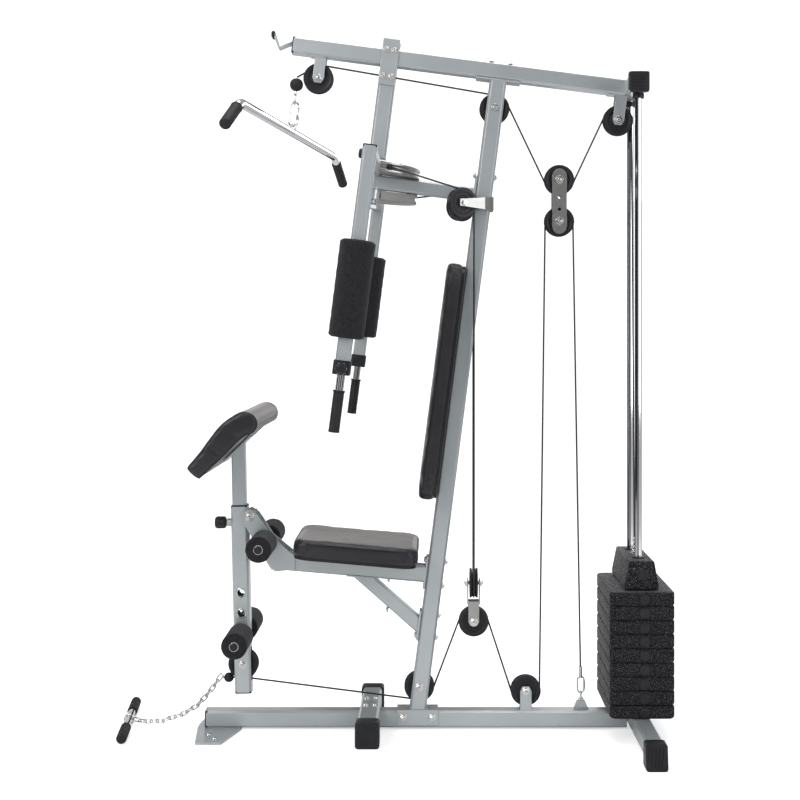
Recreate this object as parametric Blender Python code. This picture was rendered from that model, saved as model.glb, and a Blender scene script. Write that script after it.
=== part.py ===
"""Multi station home gym, modelled as separate named pieces.

Units are metres, +Z is up. -X is the side the user faces, +X the weight stack,
-Y is the user's left. The origin is on the floor under the middle of the machine.
"""
import bpy
import bmesh
from math import sin, cos, tan, asin, atan2, radians, degrees, pi
from mathutils import Vector, Matrix

for old in list(bpy.data.objects):
    bpy.data.objects.remove(old, do_unlink=True)

# ---------------------------------------------------------------- dimensions
SHIFT_X = 0.11146         # moves the design's datum so the footprint is centred
TUBE = 0.050              # side of the main square tube
WALL = 0.002
EDGE = 0.006              # corner cut of the tubes
GAP = 0.0004              # clearance between neighbouring pieces
SLOPE = radians(7.3)      # lean of the upright, slope of the top beam
UPRIGHT_X, UPRIGHT_Z = -0.038, 0.047            # a point on the upright's centreline
BEAM_FRONT_X, BEAM_FRONT_Z = -0.406, 2.034      # front end of the top beam

PULLEY_R, PULLEY_W, GROOVE_R = 0.045, 0.024, 0.0385
AXLE_R, BORE_R = 0.0060, 0.0063
CHEEK_T, CHEEK_GAP = 0.003, 0.0160              # cheek plate, and its distance from mid pulley
CABLE_R, WRAP_R = 0.0026, 0.0415                # cord, and its centreline round a pulley
WRAP_STEP = 15                                  # degrees per segment round a pulley

STACK_X = 0.610
ROD_R, ROD_Y = 0.0105, 0.077                    # guide rods
PLATES, PLATE_T, PLATE_PITCH, PLATE_Z0 = 9, 0.0385, 0.0406, 0.0702
LIFTED = 5                                      # plates held by the selector pin
PLATE_X, PLATE_Y = 0.094, 0.163                 # half sizes of a weight plate
FOOT_Z = 0.045
CROSS_X, CROSS_Z = 0.606, 1.9060                # cross member at the beam's rear end
STABILISER_X, STABILISER_Z = -0.178, 0.0475
STABILISER_HALF_X, STABILISER_HALF_Z = 0.029, 0.0275
SEAT_JOINT_Z, BRACE_JOINT_Z = 0.462, 0.305      # where seat tube and brace meet the upright
KNOB_Z = 0.612                                  # knob that clamps the curl post

ARM_X, ARM_Z = -0.157, 1.70                     # foot of the front post, on the arms' axis
ARM_Y = 0.41
ARM_TOP_Z, ARM_LOW_Z, BUSH_Z, FOAM_Z = 1.672, 1.100, 1.0975, 1.1665
CAM_R = 0.132

SIDES = {-1: "left", 1: "right"}
BACK = Vector((1, 0, 0))
RIGHT = Vector((0, 1, 0))
UP = Vector((0, 0, 1))
RISE = Vector((sin(SLOPE), 0, cos(SLOPE)))      # along the upright, upwards
AFT = Vector((cos(SLOPE), 0, -sin(SLOPE)))      # along the beam, rearwards


# ------------------------------------------------------------ reference points
def point(x, y, z):
    return Vector((x + SHIFT_X, y, z))


def mid(x, z):
    """Point on the machine's middle plane."""
    return point(x, 0, z)


def side_view(pairs, y=0):
    """Points from (x, z) pairs."""
    return [point(x, y, z) for x, z in pairs]


def upright_x(z):
    return UPRIGHT_X + (z - UPRIGHT_Z) * tan(SLOPE)


def upright_face(z, gap=GAP):
    """Point just clear of the upright's front face."""
    return mid(upright_x(z), z) - AFT * (TUBE / 2 + gap)


def on_beam(x):
    return mid(x, BEAM_FRONT_Z - (x - BEAM_FRONT_X) * tan(SLOPE))


def below_beam(x, drop=0):
    """Point just clear of the beam's underside, or lower by drop."""
    return on_beam(x) - RISE * (TUBE / 2 + GAP + drop)


def on_arm_axis(z):
    return mid(ARM_X - (ARM_Z - z) * tan(SLOPE), z)


# pulley centres
FRONT_X, REAR_X, FLOAT_X, HANG_X = -0.3325, 0.560, 0.385, 0.130
FRONT = mid(FRONT_X, 1.9355)
TOP = mid(0.192, 1.845)
REAR = mid(REAR_X, 1.810)
FLOAT_HIGH = mid(FLOAT_X, 1.633)
FLOAT_LOW = mid(FLOAT_X, 1.509)
HANG_HIGH = mid(HANG_X, 0.432)
HANG_LOW = mid(HANG_X, 0.318)
BOTTOM = mid(-0.032, 0.125)
BASE = mid(0.285, 0.112)
LEVER = mid(-0.556, 0.192)
# the two fly pulleys are turned outwards: centre, horizontal run and axle
FLY_TURN = radians(28)
FLY_Z = 1.560
FLY = {s: point(0.0934, s * 0.0605, FLY_Z) for s in SIDES}
FLY_RUN = {s: Vector((cos(FLY_TURN), -s * sin(FLY_TURN), 0)) for s in SIDES}
FLY_AXIS = {s: Vector((sin(FLY_TURN), s * cos(FLY_TURN), 0)) for s in SIDES}

PIVOT = mid(-0.535, 0.633)                      # leg lever's hinge
UPPER_ROLLER = mid(-0.489, 0.560)
LOWER_ROLLER = mid(-0.558, 0.2845)
STOP_BALL = mid(-0.6000, 0.1495)
CHAIN_END = STOP_BALL - BACK * 0.0260
ARM_PIVOT = on_arm_axis(ARM_Z)
ARM_HUB = {s: ARM_PIVOT - RISE * drop for s, drop in ((-1, 0.0365), (1, 0.1100))}
SEAT_FRONT = mid(-0.448, 0.499)
SEAT_DIR = (mid(-0.0160, 0.4616) - SEAT_FRONT).normalized()
SEAT_UP = SEAT_DIR.cross(RIGHT)
LEVER_TOP, LEVER_FOOT = mid(-0.567, 0.662), mid(-0.5545, 0.110)
LEVER_UP = (LEVER_TOP - LEVER_FOOT).normalized()
LEVER_AFT = Vector((LEVER_UP.z, 0, -LEVER_UP.x))

# -------------------------------------------------------------------- tables
# foot plate under the rail's front end, (x, y)
FOOT_PLATE = [
    (-0.690, -0.02), (-0.672, -0.170), (-0.598, -0.170), (-0.560, -0.03),
    (-0.560, 0.03), (-0.598, 0.170), (-0.672, 0.170), (-0.690, 0.02)]
# plate from the seat tube to the lever's hinge, (x, z)
HINGE_PLATE = [
    (-0.556, 0.645), (-0.535, 0.655), (-0.512, 0.640), (-0.470, 0.575), (-0.400, 0.517),
    (-0.400, 0.474), (-0.470, 0.476), (-0.512, 0.545), (-0.556, 0.620)]
# side outline of the curl pad, (x, z)
CURL_PAD = [
    (-0.680, 0.796), (-0.646, 0.766), (-0.517, 0.888), (-0.491, 0.897), (-0.479, 0.918),
    (-0.482, 0.942), (-0.497, 0.956), (-0.517, 0.9610), (-0.541, 0.9530), (-0.577, 0.9265),
    (-0.607, 0.888), (-0.637, 0.848), (-0.662, 0.816)]
# chain from the T-bar to the low cable, (x, y, z)
CHAIN = [
    (-0.855, 0.012, 0.0150), (-0.805, 0.004, 0.0180), (-0.743, 0, 0.0370),
    (-0.6976, 0, 0.0636), (-0.672, 0, 0.090), (-0.649, 0, 0.118)]

# ----------------------------------------------------------------- materials
# base colour, roughness, metallic
FINISH = {
    "silver_paint": ((0.42, 0.45, 0.47), 0.32, 0.6),
    "zinc": ((0.62, 0.60, 0.56), 0.3, 1.0),
    "chrome": ((0.75, 0.75, 0.76), 0.08, 1.0),
    "black_plastic": ((0.018, 0.018, 0.020), 0.45, 0.0),
    "foam": ((0.014, 0.014, 0.015), 0.9, 0.0),
    "vinyl": ((0.016, 0.016, 0.018), 0.35, 0.0),
    "granite": ((0.035, 0.035, 0.038), 0.85, 0.0),
    "cable": ((0.012, 0.012, 0.013), 0.35, 0.0),
}


def material(name, kind):
    mat = bpy.data.materials.new(f"{kind}_{name}")
    mat.use_nodes = True
    shader = mat.node_tree.nodes["Principled BSDF"]
    colour, roughness, metallic = FINISH[kind]
    shader.inputs["Base Color"].default_value = (*colour, 1)
    shader.inputs["Roughness"].default_value = roughness
    shader.inputs["Metallic"].default_value = metallic
    mat.diffuse_color = (*colour, 1)
    return mat


# --------------------------------------------------------------- mesh makers
def loft(rings, cyclic=False):
    """Skin rings of equal length; capped, or closed round like a torus."""
    bm = bmesh.new()
    verts = [[bm.verts.new(p) for p in ring] for ring in rings]
    size = len(rings[0])
    for i in range(len(verts) if cyclic else len(verts) - 1):
        a, b = verts[i], verts[(i + 1) % len(verts)]
        for k in range(size):
            bm.faces.new((a[k], a[(k + 1) % size], b[(k + 1) % size], b[k]))
    if not cyclic:
        bm.faces.new(verts[0])
        bm.faces.new(verts[-1])
    bmesh.ops.recalc_face_normals(bm, faces=bm.faces)
    mesh = bpy.data.meshes.new("tool")
    bm.to_mesh(mesh)
    bm.free()
    obj = bpy.data.objects.new("tool", mesh)
    bpy.context.scene.collection.objects.link(obj)
    return obj


def box(x, y, z, size_x, size_y, size_z):
    centre = point(x, y, z)
    corners = [(-1, -1), (1, -1), (1, 1), (-1, 1)]
    return loft([[centre + Vector((a * size_x / 2, b * size_y / 2, k * size_z / 2))
                  for a, b in corners] for k in (-1, 1)])


def outline(half_u, half_v, edge):
    """Rectangle with cut corners, as (u, v)."""
    return [(half_u - edge, -half_v), (half_u, -half_v + edge),
            (half_u, half_v - edge), (half_u - edge, half_v),
            (-half_u + edge, half_v), (-half_u, half_v - edge),
            (-half_u, -half_v + edge), (-half_u + edge, -half_v)]


def bar(start, end, half_u, half_v, edge=0.0, across=None,
        start_cut=None, end_cut=None, hollow=False):
    """Rectangular bar or tube; half_u is its half width along across, half_v the other.
    start_cut and end_cut are the normals of the end cuts."""
    run = (end - start).normalized()
    other = RIGHT if abs(run.y) < 0.9 else UP
    across = (across or other.cross(run)).normalized()
    other = run.cross(across).normalized()

    def ring(at, normal, pairs):
        normal = normal or run
        corners = (at + across * a + other * b for a, b in pairs)
        return [c - run * ((c - at).dot(normal) / run.dot(normal)) for c in corners]

    if edge:
        outer = outline(half_u, half_v, edge)
    else:
        outer = [(half_u, -half_v), (half_u, half_v), (-half_u, half_v), (-half_u, -half_v)]
    rings = [ring(start, start_cut, outer), ring(end, end_cut, outer)]
    if hollow:
        inner = outline(half_u - WALL, half_v - WALL, edge - WALL)
        rings += [ring(end, end_cut, inner), ring(start, start_cut, inner)]
    return loft(rings, cyclic=hollow)


def main_tube(start, end, **options):
    return bar(start, end, TUBE / 2, TUBE / 2, EDGE, hollow=True, **options)


def turned(profile, at, axis, sides=16, cyclic=False, turn=0.0):
    """Profile of (radius, distance along the axis) turned round the axis."""
    axis = axis.normalized()
    ref = BACK if abs(axis.x) < 0.7 else RIGHT
    first = axis.cross(ref).normalized()
    second = axis.cross(first)
    angles = [turn + 2 * pi * k / sides for k in range(sides)]
    return loft([[at + axis * along + (first * cos(a) + second * sin(a)) * radius
                  for a in angles] for radius, along in profile], cyclic)


def rod(start, end, radius, sides=12):
    run = end - start
    return turned([(radius, 0), (radius, run.length)], start, run, sides)


def cross_rod(at, half_length, radius=AXLE_R, sides=8, axis=RIGHT):
    """Rod centred on a point; a pulley axle unless told otherwise."""
    return rod(at - axis * half_length, at + axis * half_length, radius, sides)


def stack_rod(z0, z1, radius, y=0, sides=10):
    """Vertical rod in the plane of the weight stack."""
    return rod(point(STACK_X, y, z0), point(STACK_X, y, z1), radius, sides)


def rod_bores(z0, z1, radius, sides=10):
    """Cutters where the two guide rods pass."""
    return [stack_rod(z0, z1, radius, s * ROD_Y, sides) for s in SIDES]


def sweep(path, radius, sides=5):
    """Round cord along a path, with mitred corners."""
    rings = []
    runs = [(b - a).normalized() for a, b in zip(path, path[1:])]
    ref = RIGHT if abs(runs[0].y) < 0.9 else BACK
    for i, at in enumerate(path):
        tangent = (runs[max(i - 1, 0)] + runs[min(i, len(runs) - 1)]).normalized()
        ref = (ref - tangent * ref.dot(tangent)).normalized()
        other = tangent.cross(ref)
        angles = [2 * pi * k / sides for k in range(sides)]
        rings.append([at + (ref * cos(a) + other * sin(a)) * radius for a in angles])
    return loft(rings)


def slab(points, depth):
    """Flat outline pushed to both sides by the vector depth / 2."""
    return loft([[p - depth / 2 for p in points], [p + depth / 2 for p in points]])


def side_plate(x0, x1, z0, z1, y, thick):
    """Rectangular plate seen from the side."""
    return slab(side_view([(x0, z0), (x1, z0), (x1, z1), (x0, z1)], y), RIGHT * thick)


def boolean(obj, tools, operation):
    """Apply the tools one after another and keep the result as the object's mesh."""
    for tool in tools:
        mod = obj.modifiers.new(operation, "BOOLEAN")
        mod.operation = operation
        mod.object = tool
        mod.solver = "EXACT"
        depsgraph = bpy.context.evaluated_depsgraph_get()
        mesh = bpy.data.meshes.new_from_object(obj.evaluated_get(depsgraph))
        obj.modifiers.clear()
        obj.data = mesh
        bm = bmesh.new()
        bm.from_mesh(mesh)
        bmesh.ops.dissolve_degenerate(bm, dist=1e-6, edges=bm.edges)
        bm.to_mesh(mesh)
        bm.free()
        bpy.data.objects.remove(tool, do_unlink=True)
    return obj


def join(obj, *tools):
    return boolean(obj, tools, "UNION")


def cut(obj, *tools):
    return boolean(obj, tools, "DIFFERENCE")


def piece(obj, name, kind, origin=Vector((0, 0, 0))):
    """Name a finished piece, give it its material, origin and shading."""
    obj.name = obj.data.name = name
    obj.data.transform(Matrix.Translation(-origin))
    obj.location = origin
    obj.data.materials.clear()
    obj.data.materials.append(material(name, kind))
    obj.data.shade_smooth()
    obj.data.set_sharp_from_angle(angle=radians(35))


def cheeks(at, axis, up, reach, drop=0.0144, width=0.034):
    """Two cheek plates and the axle of a pulley bracket. The plates reach along up
    from the axle to the bracket's base, and drop below the axle with tapered corners."""
    up = up.normalized()
    across = axis.cross(up)
    half = width / 2
    shape = [(-half, reach), (-half, 0), (-half * 0.6, -drop),
             (half * 0.6, -drop), (half, 0), (half, reach)]
    parts = []
    for s in SIDES:
        centre = at + axis * s * (CHEEK_GAP + CHEEK_T / 2)
        parts.append(slab([centre + across * a + up * b for a, b in shape], axis * CHEEK_T))
    parts.append(cross_rod(at, CHEEK_GAP + CHEEK_T + 0.006, axis=axis))
    return parts


def slots(at, up, out, half_length, half_depth):
    """Cutters that open a tube's front and rear walls for a pulley."""
    return [bar(at + out * s * 0.034 - up * half_length, at + out * s * 0.034 + up * half_length,
                half_depth, 0.0150, across=out) for s in SIDES]


# ---------------------------------------------------------------- base frame
def base_rail():
    rail_z = 0.0305
    rail = main_tube(mid(-0.665, rail_z), mid(0.5842, rail_z))
    foot_plate = slab([point(x, y, 0.003) for x, y in FOOT_PLATE], UP * 0.006)
    cable_lug = slab(side_view([(0.425, 0.050), (0.475, 0.050), (0.462, 0.082), (0.438, 0.082)]),
                     RIGHT * 0.005)
    bracket_base = side_plate(0.262, 0.308, 0.0565, 0.0530, 0, 0.038)
    rail = join(rail, foot_plate, cable_lug, bracket_base, *cheeks(BASE, RIGHT, -UP, 0.0580))
    piece(rail, "base_rail", "silver_paint")


def rear_foot():
    tube = main_tube(point(STACK_X, -0.383, FOOT_Z), point(STACK_X, 0.383, FOOT_Z))
    tube = cut(tube, *rod_bores(0.05, 0.09, ROD_R + GAP, 16))
    piece(tube, "rear_foot_tube", "silver_paint")
    height, socket = 0.072, TUBE + 2 * GAP
    for s, side in SIDES.items():
        cap = box(STACK_X, s * 0.372, height / 2, 0.060, 0.036, height)
        # outer part, sloping inwards to the top
        section = [(0.385, 0.0), (0.408, 0.0), (0.394, height), (0.385, height)]
        cap = join(cap, loft([[point(x, s * y, z) for y, z in section]
                              for x in (STACK_X - 0.030, STACK_X + 0.030)]))
        cap = cut(cap, box(STACK_X, s * 0.360, FOOT_Z, socket, 0.0468, socket))
        piece(cap, f"rear_foot_cap_{side}", "black_plastic")


def stabiliser():
    tube = bar(point(STABILISER_X, -0.195, STABILISER_Z), point(STABILISER_X, 0.195, STABILISER_Z),
               STABILISER_HALF_X, STABILISER_HALF_Z, EDGE, hollow=True)
    # the cross member straddles the rail: its lower side is notched
    tube = cut(tube, box(STABILISER_X, 0, 0.030, 0.08, TUBE + 2 * GAP, 0.0520))
    piece(tube, "front_stabiliser", "silver_paint")
    for s, side in SIDES.items():
        boot = box(STABILISER_X, s * 0.190, 0.0385, 0.070, 0.050, 0.077)
        socket = box(STABILISER_X, s * 0.180, STABILISER_Z, 2 * STABILISER_HALF_X + 2 * GAP,
                     0.0310, 2 * STABILISER_HALF_Z + 2 * GAP)
        piece(cut(boot, socket), f"stabiliser_boot_{side}", "black_plastic")


# ------------------------------------------------------- upright and top beam
def main_upright():
    low_z, beam_x = 0.0590, 0.2065
    upright = main_tube(mid(upright_x(low_z), low_z), below_beam(beam_x, 0.003),
                        across=AFT, start_cut=UP)
    # saddle with two ears over the base rail
    saddle_x = (-0.098, 0.024)
    saddle = side_plate(*saddle_x, 0.0582, 0.0602, 0, 0.060)
    ears = [side_plate(*saddle_x, 0.014, 0.0600, s * 0.0280, 0.0045) for s in SIDES]
    flange = bar(below_beam(beam_x, 0.005), below_beam(beam_x), 0.066, 0.025, across=AFT)
    upright = join(upright, saddle, *ears, flange)
    for_pulleys = [tool for at in (TOP, BOTTOM) for tool in slots(at, RISE, AFT, 0.054, 0.0168)]
    upright = cut(upright, *for_pulleys)
    upright = join(upright, *[cross_rod(at, 0.033) for at in (TOP, BOTTOM)])
    piece(upright, "main_upright", "silver_paint")


def top_beam():
    beam = main_tube(on_beam(BEAM_FRONT_X), on_beam(0.5805), across=RISE, end_cut=BACK)
    half = TUBE / 2 + 0.001
    cross = bar(point(CROSS_X, -0.108, CROSS_Z), point(CROSS_X, 0.108, CROSS_Z),
                half, half, EDGE, hollow=True)
    cross = cut(cross, *rod_bores(1.87, 1.90, ROD_R + GAP, 16))
    hook = [(-0.378, 2.0555), (-0.448, 2.026), (-0.466, 2.074)]
    hooks = [sweep(side_view(hook, s * 0.014), 0.0045) for s in SIDES]
    bracket_bases = []
    for x in (FRONT_X, REAR_X - 0.008):
        at = on_beam(x) - RISE * 0.0275
        bracket_bases.append(bar(at, at + RISE * 0.003, 0.020, 0.0205, across=AFT))
    ends = [box(CROSS_X, s * 0.113, CROSS_Z, 0.058, 0.020, 0.058) for s in SIDES]
    beam = join(beam, cross, *ends, *hooks, *bracket_bases,
                *cheeks(FRONT, RIGHT, RISE, 0.0625), *cheeks(REAR, RIGHT, RISE, 0.0735))
    piece(beam, "top_beam", "silver_paint")


def front_post():
    """Post under the beam with the arms' spindle, and the tube back to the upright."""
    beam_x = -0.119
    at = on_beam(beam_x)
    post = main_tube(ARM_PIVOT, below_beam(beam_x, 0.002), across=AFT)
    top_plate = bar(below_beam(beam_x, 0.004), below_beam(beam_x), 0.025, 0.0300, across=AFT)
    wings = [bar(at - RISE * 0.085 + RIGHT * s * 0.0278, at + RISE * 0.052 + RIGHT * s * 0.0278,
                 0.025, 0.0024, across=AFT) for s in SIDES]
    foot_plate = bar(ARM_PIVOT - RISE * 0.002, ARM_PIVOT + RISE * 0.003,
                     0.025, 0.025, across=AFT)
    spindle_z = 1.560
    spindle = rod(ARM_PIVOT + RISE * 0.001, on_arm_axis(spindle_z), 0.0120, 16)
    nut = rod(on_arm_axis(spindle_z), on_arm_axis(1.548), 0.0190, 6)
    lug = rod(on_arm_axis(1.6490), on_arm_axis(1.6060), 0.0210, 16)
    start = on_arm_axis(1.6275) + AFT * 0.005
    length = (upright_face(1.6) - start).dot(AFT) - 0.0040
    support = bar(start, start + AFT * length, 0.0205, 0.020, 0.005, across=RISE)
    flange = bar(start + AFT * (length - 0.0010), start + AFT * (length + 0.0040),
                 0.055, 0.025, across=RISE)
    post = join(post, top_plate, *wings, foot_plate, spindle, nut, lug, support, flange)
    # passage for the lat cable, then a small hole in the post and one in the support
    passage = mid(-0.126, 1.9420)
    post_hole = ARM_PIVOT + RISE * 0.05
    support_hole = start + AFT * 0.12
    post = cut(post,
               bar(passage - AFT * 0.045, passage + AFT * 0.045, 0.012, 0.009, across=RISE),
               rod(post_hole, post_hole + AFT * 0.04, 0.004, 10),
               rod(support_hole - RISE * 0.03, support_hole, 0.004, 10))
    piece(post, "front_post", "silver_paint")


def fly_pulley_bracket():
    strap = box(0.1865, 0, FLY_Z, 0.004, 0.062, 0.040)
    arm_shape = [(-0.015, -0.010), (-0.015, 0.010), (0.074, 0.018), (0.074, -0.018)]
    for s in SIDES:
        axis = FLY_AXIS[s]
        centre = FLY[s] + axis * 0.0165
        arm = slab([centre + FLY_RUN[s] * a + UP * b for a, b in arm_shape], axis * 0.003)
        strap = join(strap,
                     box(0.1665, s * 0.0282, FLY_Z, 0.044, 0.0050, 0.040),
                     box(0.160, s * 0.0350, FLY_Z, 0.030, 0.0180, 0.036),
                     arm,
                     rod(FLY[s] - axis * 0.0180, FLY[s] + axis * 0.0240, AXLE_R, 8))
    piece(strap, "fly_pulley_bracket", "zinc")


# ------------------------------------------------------------- seat and pads
def seat_tube():
    end_x = mid(upright_x(SEAT_JOINT_Z) - 0.0315, 0).x
    length = (end_x - SEAT_FRONT.x) / SEAT_DIR.x
    tube = main_tube(SEAT_FRONT, SEAT_FRONT + SEAT_DIR * length, across=SEAT_UP, end_cut=AFT)
    face = upright_face(SEAT_JOINT_Z)
    flange = bar(face - AFT * 0.006, face, 0.048, 0.025, across=RISE)
    # brace from under the seat tube down to the upright, with a plate at each end
    brace_top = mid(-0.205, 0.4590)
    brace_face = upright_face(BRACE_JOINT_Z)
    brace = bar(brace_top, brace_face - AFT * 0.004, 0.020, 0.0195, 0.004,
                start_cut=SEAT_UP, end_cut=AFT, hollow=True)
    top_plate = bar(brace_top - SEAT_DIR * 0.042 - SEAT_UP * 0.0055,
                    brace_top + SEAT_DIR * 0.042 - SEAT_UP * 0.0055,
                    0.0025, 0.024, across=SEAT_UP)
    low_plate = bar(brace_face - AFT * 0.006, brace_face, 0.044, 0.024, across=RISE)
    # two plates at the front end hold the lever's pivot bolt
    hinge_plates = [slab(side_view(HINGE_PLATE, s * 0.0292), RIGHT * 0.005) for s in SIDES]
    web = [(-0.462, 0.470), (-0.462, 0.515), (-0.402, 0.510), (-0.402, 0.476)]
    webs = [slab(side_view(web, s * 0.0262), RIGHT * 0.0040) for s in SIDES]
    pivot_bolt = cross_rod(PIVOT, 0.038)
    roller_hub = cross_rod(UPPER_ROLLER, 0.030, 0.0165, 18)
    tube = join(tube, flange, top_plate, brace, low_plate,
                *hinge_plates, *webs, pivot_bolt, roller_hub)
    # small hole into the brace, and the roller hub's bore
    hole = brace_top.lerp(brace_face, 0.5)
    tube = cut(tube, rod(hole - UP * 0.04, hole, 0.004, 10),
               cross_rod(UPPER_ROLLER, 0.05, 0.0115, 16))
    piece(tube, "seat_tube", "silver_paint")


def cushion(length, half_width, depth, at, along, up):
    """Cushion with rounded plan, standing depth above the point at."""
    corner, inset, rim = 0.045, 0.010, 0.012
    x0, x1, y1 = corner, length - corner, half_width - corner
    plan = []
    for x, y, first in ((x1, y1, 0), (x0, y1, 90), (x0, -y1, 180), (x1, -y1, 270)):
        for k in range(4):
            a = radians(first + 30 * k)
            plan.append((x + corner * cos(a), y + corner * sin(a)))
    middle = length / 2
    rings = []
    for shrink, h in ((inset, 0.0), (0.0, rim), (0.0, depth - rim), (inset, depth)):
        scale_x, scale_y = 1 - 2 * shrink / length, 1 - shrink / half_width
        rings.append([at + along * (middle + (x - middle) * scale_x)
                      + RIGHT * (y * scale_y) + up * h for x, y in plan])
    return loft(rings)


def seat_pad():
    seat = cushion(0.367, 0.170, 0.056, mid(-0.400, 0.5278), SEAT_DIR, SEAT_UP)
    at = mid(-0.385, 0.5234)
    runner = bar(at + SEAT_DIR * 0.06, at + SEAT_DIR * 0.30, 0.0039, 0.04, across=SEAT_UP)
    piece(join(seat, runner), "seat_pad", "vinyl")


def back_pad():
    at = upright_face(0.685, GAP + 0.0002)
    piece(cushion(0.694, 0.135, 0.052, at, RISE, -AFT), "back_pad", "vinyl")


def roller(name, at):
    """Cross bar with a foam roll on each side."""
    obj = cross_rod(at, 0.196, 0.0108, 16)
    inner, outer = 0.046, 0.190
    profile = [(0.030, inner), (0.0375, inner + 0.008), (0.0375, outer - 0.008), (0.030, outer)]
    for s in SIDES:
        obj = join(obj, turned(profile, at, RIGHT * s, 12))
    piece(obj, name, "foam")


# ------------------------------------------------------ leg lever, curl post
def leg_lever():
    lever = bar(LEVER_FOOT, LEVER_TOP, 0.0245, 0.0255, EDGE, across=LEVER_AFT, hollow=True)
    pivot_lugs = [bar(point(-0.548, s * 0.0232, 0.633), point(-0.5185, s * 0.0232, 0.633),
                      0.0170, 0.0028, across=LEVER_UP) for s in SIDES]
    knob_collar = rod(mid(-0.5893, KNOB_Z), mid(-0.6045, KNOB_Z), 0.0120, 14)
    lever = join(lever, *pivot_lugs, knob_collar)
    roller_holes = [mid(-0.561, 0.406), mid(-0.5595, 0.345), LOWER_ROLLER]
    lever = cut(lever, *slots(LEVER, LEVER_UP, LEVER_AFT, 0.050, 0.0145),
                cross_rod(PIVOT, 0.04, BORE_R, 12),
                *[cross_rod(at, 0.04, 0.0125, 12) for at in roller_holes],
                rod(mid(-0.63, KNOB_Z), mid(-0.58, KNOB_Z), 0.0053, 12))
    piece(join(lever, cross_rod(LEVER, 0.033)), "leg_lever", "silver_paint", PIVOT)


def curl_post():
    post = bar(mid(-0.5655, 0.560), mid(-0.5715, 0.868), 0.0200, 0.0200, 0.004,
               across=LEVER_AFT, hollow=True)
    # slope of the pad's underside, and its normal
    along = (mid(-0.517, 0.888) - mid(-0.646, 0.766)).normalized()
    normal = Vector((-along.z, 0, along.x))
    under = mid(-0.5715, 0.8365) - normal * 0.0030
    mount = bar(under - along * 0.055, under + along * 0.055, 0.0020, 0.050, across=normal)
    above = under + normal * 0.030
    post = cut(post, bar(above - along * 0.1, above + along * 0.1, 0.0292, 0.05, across=normal))
    piece(join(post, mount), "curl_post", "silver_paint")


def curl_pad():
    piece(slab(side_view(CURL_PAD), RIGHT * 0.532), "curl_pad", "vinyl")


def curl_post_knob():
    profile = [(0.0049, 0.0), (0.0049, 0.014), (0.010, 0.014),
               (0.019, 0.018), (0.019, 0.046), (0.014, 0.050)]
    piece(turned(profile, mid(-0.5915, KNOB_Z), -BACK, 14),
          "curl_post_knob", "black_plastic", mid(-0.592, KNOB_Z))


# -------------------------------------------------- weight stack and its rods
def guide_rods():
    for s, side in SIDES.items():
        piece(stack_rod(0.0550, 1.8950, ROD_R, s * ROD_Y, 12), f"guide_rod_{side}", "chrome")


def weight_plates():
    """Chamfered plates with bores for rods, stem and pin; number 1 is on top."""
    edge, half = 0.008, PLATE_T / 2
    section = [
        (PLATE_X - edge, 0), (PLATE_X, edge), (PLATE_X, PLATE_T - edge), (PLATE_X - edge, PLATE_T),
        (-PLATE_X + edge, PLATE_T), (-PLATE_X, PLATE_T - edge), (-PLATE_X, edge),
        (-PLATE_X + edge, 0)]
    # y, scale of the section
    stations = [(-PLATE_Y, 0.96), (-PLATE_Y + 0.004, 1.0), (PLATE_Y - 0.004, 1.0), (PLATE_Y, 0.96)]
    for i in range(PLATES):
        z = PLATE_Z0 + PLATE_PITCH * i
        plate = loft([[point(STACK_X + x * k, y, z + half + (h - half) * k) for x, h in section]
                      for y, k in stations])
        plate = cut(plate, *rod_bores(z - 0.01, z + 0.06, 0.0130),
                    stack_rod(z - 0.01, z + 0.06, 0.0125),
                    rod(mid(STACK_X, z + half), mid(STACK_X + 0.12, z + half), 0.0060, 8))
        piece(plate, f"weight_plate_{PLATES - i}", "granite")


def top_weight_block():
    """Block over the plates, with the drilled stem below and the cable eye above."""
    low, high = PLATE_Z0 + PLATE_PITCH * PLATES + 0.0010, 0.521
    section = [(-0.049, low), (0.050, low), (0.050, low + 0.012),
               (0.037, high), (-0.035, high), (-0.049, low + 0.012)]
    block = loft([[point(STACK_X + x, y, z) for x, z in section] for y in (-0.139, 0.139)])
    block = cut(block, *rod_bores(low - 0.02, 0.54, 0.0125))
    stem = stack_rod(0.0760, low + 0.01, 0.0110)
    for i in range(PLATES):
        z = PLATE_Z0 + PLATE_PITCH * i + PLATE_T / 2
        stem = cut(stem, turned([(0.0064, 0), (0.0064, 0.04)], mid(STACK_X - 0.02, z),
                                BACK, 6, turn=0.1))
    eye = turned([(0.006, -0.003), (0.013, -0.003), (0.013, 0.003), (0.006, 0.003)],
                 mid(STACK_X, 0.532), RIGHT, 14, cyclic=True)
    piece(join(block, stem, eye), "top_weight_block", "granite")


def selector_pin():
    z = PLATE_Z0 + PLATE_PITCH * (PLATES - LIFTED) + PLATE_T / 2
    profile = [(0.0050, 0), (0.0050, 0.1055), (0.0095, 0.1060),
               (0.0105, 0.109), (0.0105, 0.115), (0.0080, 0.118)]
    piece(turned(profile, mid(STACK_X - 0.0105, z), BACK, 12),
          "selector_pin", "zinc", mid(STACK_X, z))


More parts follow.
